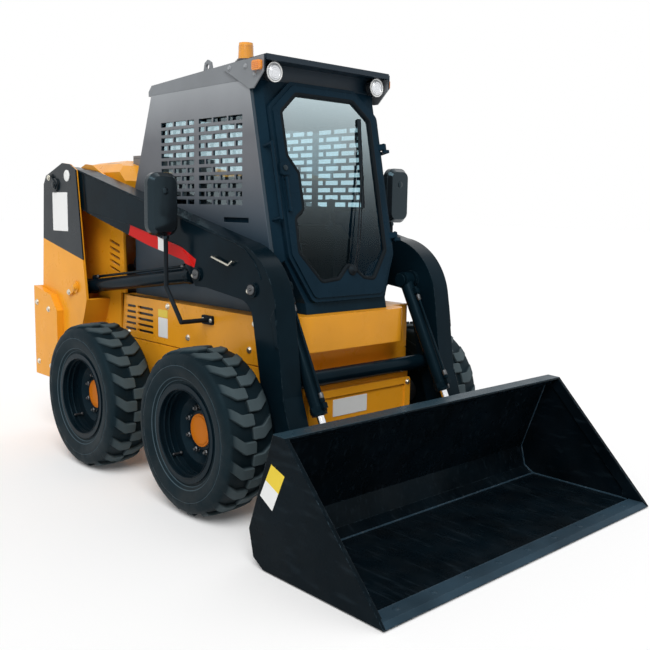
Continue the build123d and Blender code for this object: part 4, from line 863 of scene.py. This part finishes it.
def build_door_trim():
    mesh = bmesh.new()
    line = rounded(PANE_OUTLINE, 34, 6)
    rod(mesh, [on_door(x, z, 22) for x, z in line], 11, 10, closed=True)
    piece("door_seal", mesh, seal_rubber, "door", 50)

    # wiper: motor cap, sprung arm, yokes and blade
    mesh = bmesh.new()
    normal = (on_door(0, 1500, 1) - on_door(0, 1500, 0)).normalized()
    motor = [(-8, 26), (8, 26), (14, 20), (24, 12), (26, 10)]
    lathe(mesh, motor, on_door(33, 1098, 26), normal, 28, closed=False)
    rod(mesh, [on_door(33, 1098, 46), on_door(70, 1210, 50), on_door(188, 1622, 40)], 6.5, 6, flat=0.5)
    rod(mesh, [on_door(48, 1092, 44), on_door(96, 1230, 46), on_door(190, 1560, 38)], 3, 6)
    for along in (0.25, 0.5, 0.75):
        spot = BLADE_LOW.lerp(BLADE_TOP, along)
        yoke = [on_door(spot.x, spot.y + up, out) for up, out in ((-60, 30), (0, 38), (60, 30))]
        rod(mesh, yoke, 4, 6)
    rod(mesh, [on_door(*BLADE_LOW, 29), on_door(*BLADE_TOP, 29)], 5, 6, flat=2.0)
    piece("wiper", mesh, plastic, "door")
    mesh = bmesh.new()
    rod(mesh, [on_door(BLADE_LOW.x, BLADE_LOW.y - 3, 22), on_door(BLADE_TOP.x, BLADE_TOP.y + 3, 22)], 4, 4)
    piece("wiper_rubber", mesh, seal_rubber, "door")

    # lock cylinder over the handle
    mesh = bmesh.new()
    lathe(mesh, [(0, 13), (5, 13), (6, 10)], on_door(-326, 1578, 40), normal, 20, closed=False)
    piece("door_lock", mesh, mirror_back, "door")


def build_cab_trim():
    """Bolts of the gussets under the roof, and the seals on the cab."""
    spots = []
    panel = reach("cab_side_panels", 0, 1)
    for s in (-1, 1):
        for y, z in ((20, 2010), (90, 2052), (215, 2056)):
            spots.append(((s * (panel + 6.3), y, z), (s, 0, 0)))
    bolts("gusset_bolts", "machine", spots, paint_panel, across=17, high=7)
    # weather strip round the doorway, on the frame
    mesh = bmesh.new()
    rod(mesh, [on_door(x, z, -4) for x, z in rounded(DOORWAY, 30)], 4.5, 6, closed=True)
    piece("doorway_strip", mesh, seal_rubber, "machine", 50)
    # seals of the side windows
    mesh = bmesh.new()
    pane = reach("cab_glass", 0, 1)
    for s in SIDES.values():
        line = rounded([(64, 1394), (114, 1864), (841, 1846), (896, 1394)], 20)
        rod(mesh, [at(s * (pane + 5), y, z) for y, z in line], 7, 6, closed=True)
    piece("window_seals", mesh, seal_rubber, "machine", 50)


def build_lamp_trim():
    """Lenses and ribs of the work lights, the beacon and the marker lights."""
    front, rear = bmesh.new(), bmesh.new()
    lens = reach("work_lights", 1, 0) + 0.5
    for s in (-1, 1):
        centre = at(s * 340, lens, 2022)
        lathe(front, [(0, 38), (1.5, 36), (3, 24), (3.6, 8)], centre, (0, -1, 0), 32, closed=False)
        for radius in (10, 20, 29):
            lathe(front, [(2, radius - 2), (4.6, radius), (2, radius + 2)], centre, (0, -1, 0), 32)
        slab(front, box_outline(s * 300, 1945, 92, 46, 9), on_rear(1011.5), 2.5, 2)
        for k in range(5):
            x = s * 300 - 34 + 17 * k
            rod(rear, [at(x, 1014, 1926), at(x, 1014, 1964)], 1.8, 6)
    piece("lamp_lenses", front, lens_clear, "machine", 40)
    piece("rear_lamp_ribs", rear, lens_clear, "machine")
    mesh = bmesh.new()
    for k in range(8):
        rib = [(0, 36.2), (1.6, 38.2 - k * 0.45), (3.2, 36.2 - k * 0.45)]
        lathe(mesh, rib, at(-330, 200, 2112 + k * 7.6), (0, 0, 1), 40)
    marker = reach("beacon", 0, 1)
    for s in (-1, 1):
        for k in range(4):
            z = 2034 + 8 * k
            rod(mesh, [at(s * marker, -28, z), at(s * marker, 16, z)], 2, 6)
    piece("beacon_ribs", mesh, beacon_finish, "machine", 50)


def build_mirror_trim():
    """Mirror panes with an adjuster and a clamp knob, the left one further forward and higher."""
    glass, knobs = bmesh.new(), bmesh.new()
    x = 685  # of the middle of each mirror
    for s, y, z in ((-1, 400, 1410), (1, 140, 1480)):
        slab(glass, box_outline(s * x, z, 149, 284, 48), on_rear(y + 15), 1.5, 1)
        lathe(knobs, [(0, 17), (4, 17), (7, 13), (8, 5)], at(s * x, y - 37, z + 62), (0, -1, 0), 24, closed=False)
        lathe(knobs, [(0, 15), (12, 15), (18, 11)], at(s * 660, y, z - 152), (0, 0, -1), 18, closed=False)
    piece("mirror_glass", glass, chrome, "machine")
    piece("mirror_knobs", knobs, mirror_back, "machine")
    spots = [((s * 512.3, 270 + dy, 850), (s, 0, 0)) for s in (-1, 1) for dy in (-32, 32)]
    bolts("mirror_bolts", "machine", spots, across=14, high=6)


def build_engine_trim():
    """Cover, manifold, filter and fan on the engine, seen with the hood or the tailgate open."""
    (x0, y0, z0), (x1, y1, z1) = (at_mm(corner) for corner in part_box("engine_block"))
    covers, pipes = bmesh.new(), bmesh.new()
    wide, long = x1 - x0, y1 - y0
    mid_x, mid_y = (x0 + x1) / 2, (y0 + y1) / 2

    def on_top(a, b, out):
        return at(a, b, z1 + out)

    slab(covers, box_outline(mid_x, mid_y, wide * 0.5, long * 0.8, 24), on_top, 46, 8)
    for k in range(3):
        cap = at(mid_x, mid_y + (k - 1) * long * 0.26, z1)
        lathe(covers, [(40, 24), (56, 22), (60, 16)], cap, (0, 0, 1), 24, closed=False)
    for s in (-1, 1):
        face = mid_x + s * wide / 2
        rod(pipes, [at(face, y, z1 - 90) for y in (y0 + 50, y1 - 60)], 22, 14)
        for k in range(4):
            y = y0 + 80 + k * (long - 170) / 3
            rod(pipes, [at(face, y, z1 - 90), at(mid_x + s * wide * 0.38, y, z1 + 6)], 15, 12)
    oil_filter = [(0, 62), (6, 66), (190, 66), (196, 62)]
    lathe(pipes, oil_filter, at(x0 + 90, y0 + 60, z1 + 66), (0, 1, 0), 32, closed=False)
    # pulley, fan hub and blades at the rear
    hub = at(mid_x, y1, (z0 + z1) / 2)
    pulley = [(0, 60), (6, 60), (12, 52), (20, 52), (26, 60), (30, 60), (30, 34), (44, 30), (46, 20)]
    lathe(pipes, pulley, hub, (0, 1, 0), 36, closed=False)
    blades = bmesh.new()
    for k in range(6):
        turn = math.pi * k / 3
        out, side = Vector((math.cos(turn), 0, math.sin(turn))), Vector((-math.sin(turn), 0, math.cos(turn)))
        ring = []
        for level in (0, 4):
            for radius, half, twist in ((28, 20, 6), (150, 44, 12)):
                for sign in (-1, 1):
                    behind = Vector((0, 0.036 + (level + sign * twist) / 1000, 0))
                    ring.append(blades.verts.new(hub + (out * radius + side * half * sign) / 1000 + behind))
        a, b, c, d, e, g, i, j = ring
        for quad in ((a, b, d, c), (e, i, j, g), (a, c, i, e), (b, g, j, d), (a, e, g, b), (c, d, j, i)):
            blades.faces.new(quad)
    piece("engine_covers", covers, plastic, "machine")
    piece("engine_pipes", pipes, cast, "machine")
    piece("engine_fan", blades, plastic, "machine", 25)


build_door_trim()
build_cab_trim()
build_lamp_trim()
build_mirror_trim()
build_engine_trim()


# ------------------------------------------------------------------ seat
def cushion(name, low, high, lean, cap):
    """A crowned pad blown up from a box that leans back. Its corners are in millimetres, and so is cap, the most
    that cloth may move."""
    mesh = bmesh.new()
    bmesh.ops.create_cube(mesh, size=1)
    size = Vector(high) - Vector(low)
    for vert in mesh.verts:
        place = Vector(low) + Vector([(c + 0.5) * width for c, width in zip(vert.co, size)])
        place.y += (place.z - low[2]) * lean
        vert.co = at(*place)
    bmesh.ops.bevel(mesh, geom=mesh.edges[:], offset=0.022, segments=3, profile=0.6, affect="EDGES")
    obj = piece(name, mesh, fabric, "machine", 60)
    remesh = obj.modifiers.new("remesh", "REMESH")
    remesh.mode, remesh.voxel_size, remesh.use_smooth_shade = "VOXEL", 0.006, True
    view = bpy.context.evaluated_depsgraph_get()
    obj.data = bpy.data.meshes.new_from_object(obj.evaluated_get(view))
    obj.modifiers.clear()
    rest = [v.co.copy() for v in obj.data.vertices]
    cloth = obj.modifiers.new("cloth", "CLOTH")
    cloth.settings.use_pressure = True
    cloth.settings.uniform_pressure_force = 4
    cloth.settings.effector_weights.gravity = 0
    for number in range(1, 21):
        scene.frame_set(number)
    view = bpy.context.evaluated_depsgraph_get()
    moved = [v.co.copy() for v in obj.evaluated_get(view).data.vertices]
    obj.modifiers.clear()
    scene.frame_set(1)
    for vert, start, swollen in zip(obj.data.vertices, rest, moved):
        step = swollen - start
        if step.length > cap / 1000:
            step *= cap / 1000 / step.length
        vert.co = start + step
    smooth = obj.modifiers.new("smooth", "SUBSURF")
    smooth.levels = smooth.render_levels = 1
    return obj


def build_seat():
    front, base = reach("seat", 1, 0), reach("seat", 2, 0)
    bottom = cushion("seat_cushion", (-205, front + 22, base + 14), (205, front + 430, base + 88), 0.0, 24)
    cushion("seat_back_cushion", (-198, front + 385, base + 140), (198, front + 440, base + 470), 0.33, 24)
    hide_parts("seat")
    # sewn piping round the cushion
    mesh = bmesh.new()
    for z in (base + 24, base + 86):
        line = rounded([(-222, front + 6), (222, front + 6), (222, front + 446), (-222, front + 446)], 60)
        rod(mesh, [at(x, y, z) for x, y in line], 4, 6, closed=True)
    piece("seat_piping", mesh, seal_rubber, "machine", 50)


build_seat()


# ------------------------------------------------------------------ stage
WORLD_LIGHT = 0.4
FLOOR_TONE, FLOOR_GLOW, FLOOR_REACH = 0.92, 0.05, 60


def build_stage():
    """White floor that keeps the shadow, and a world that is white wherever it is seen."""
    mesh = bmesh.new()
    bmesh.ops.create_grid(mesh, x_segments=2, y_segments=2, size=FLOOR_REACH)
    data = bpy.data.meshes.new("floor")
    mesh.to_mesh(data)
    mesh.free()
    floor = bpy.data.objects.new("floor", data)
    floor.location.z = -0.001
    scene.collection.objects.link(floor)
    f = Finish("floor_white")
    f.tree.nodes.remove(f.shader)
    path = f.add("ShaderNodeLightPath").outputs
    mirrored = f.math("MAXIMUM", path["Is Glossy Ray"], path["Is Transmission Ray"])
    seen = f.math("MAXIMUM", path["Is Camera Ray"], mirrored)
    matt = f.add("ShaderNodeBsdfDiffuse", Color=(*[FLOOR_TONE] * 3, 1))
    glow = f.add("ShaderNodeEmission", Color=(1, 1, 1, 1), Strength=f.math("MULTIPLY", seen, FLOOR_GLOW))
    both = f.add("ShaderNodeAddShader")
    f.put(both.inputs[0], matt.outputs[0])
    f.put(both.inputs[1], glow.outputs[0])
    f.put(f.tree.nodes["Material Output"].inputs["Surface"], both.outputs[0])
    data.materials.append(f.material)

    world = bpy.data.worlds.new("studio")
    scene.world = world
    world.use_nodes = True
    tree = world.node_tree
    back = tree.nodes["Background"]
    path = tree.nodes.new("ShaderNodeLightPath").outputs
    seen = path["Is Camera Ray"]
    for key in ("Is Glossy Ray", "Is Transmission Ray"):
        node = tree.nodes.new("ShaderNodeMath")
        node.operation = "MAXIMUM"
        tree.links.new(seen, node.inputs[0])
        tree.links.new(path[key], node.inputs[1])
        seen = node.outputs[0]
    level = tree.nodes.new("ShaderNodeMapRange")
    level.inputs["To Min"].default_value = WORLD_LIGHT
    level.inputs["To Max"].default_value = 1.0
    tree.links.new(seen, level.inputs["Value"])
    back.inputs["Color"].default_value = (1, 1, 1, 1)
    tree.links.new(level.outputs["Result"], back.inputs["Strength"])


build_stage()
place_camera()
place_sun("key", (-0.5, -0.45, 0.8), 2.35, 40)
place_sun("fill", (0.45, 0.25, 0.85), 0.35, 50)

scene.view_settings.view_transform = "Standard"
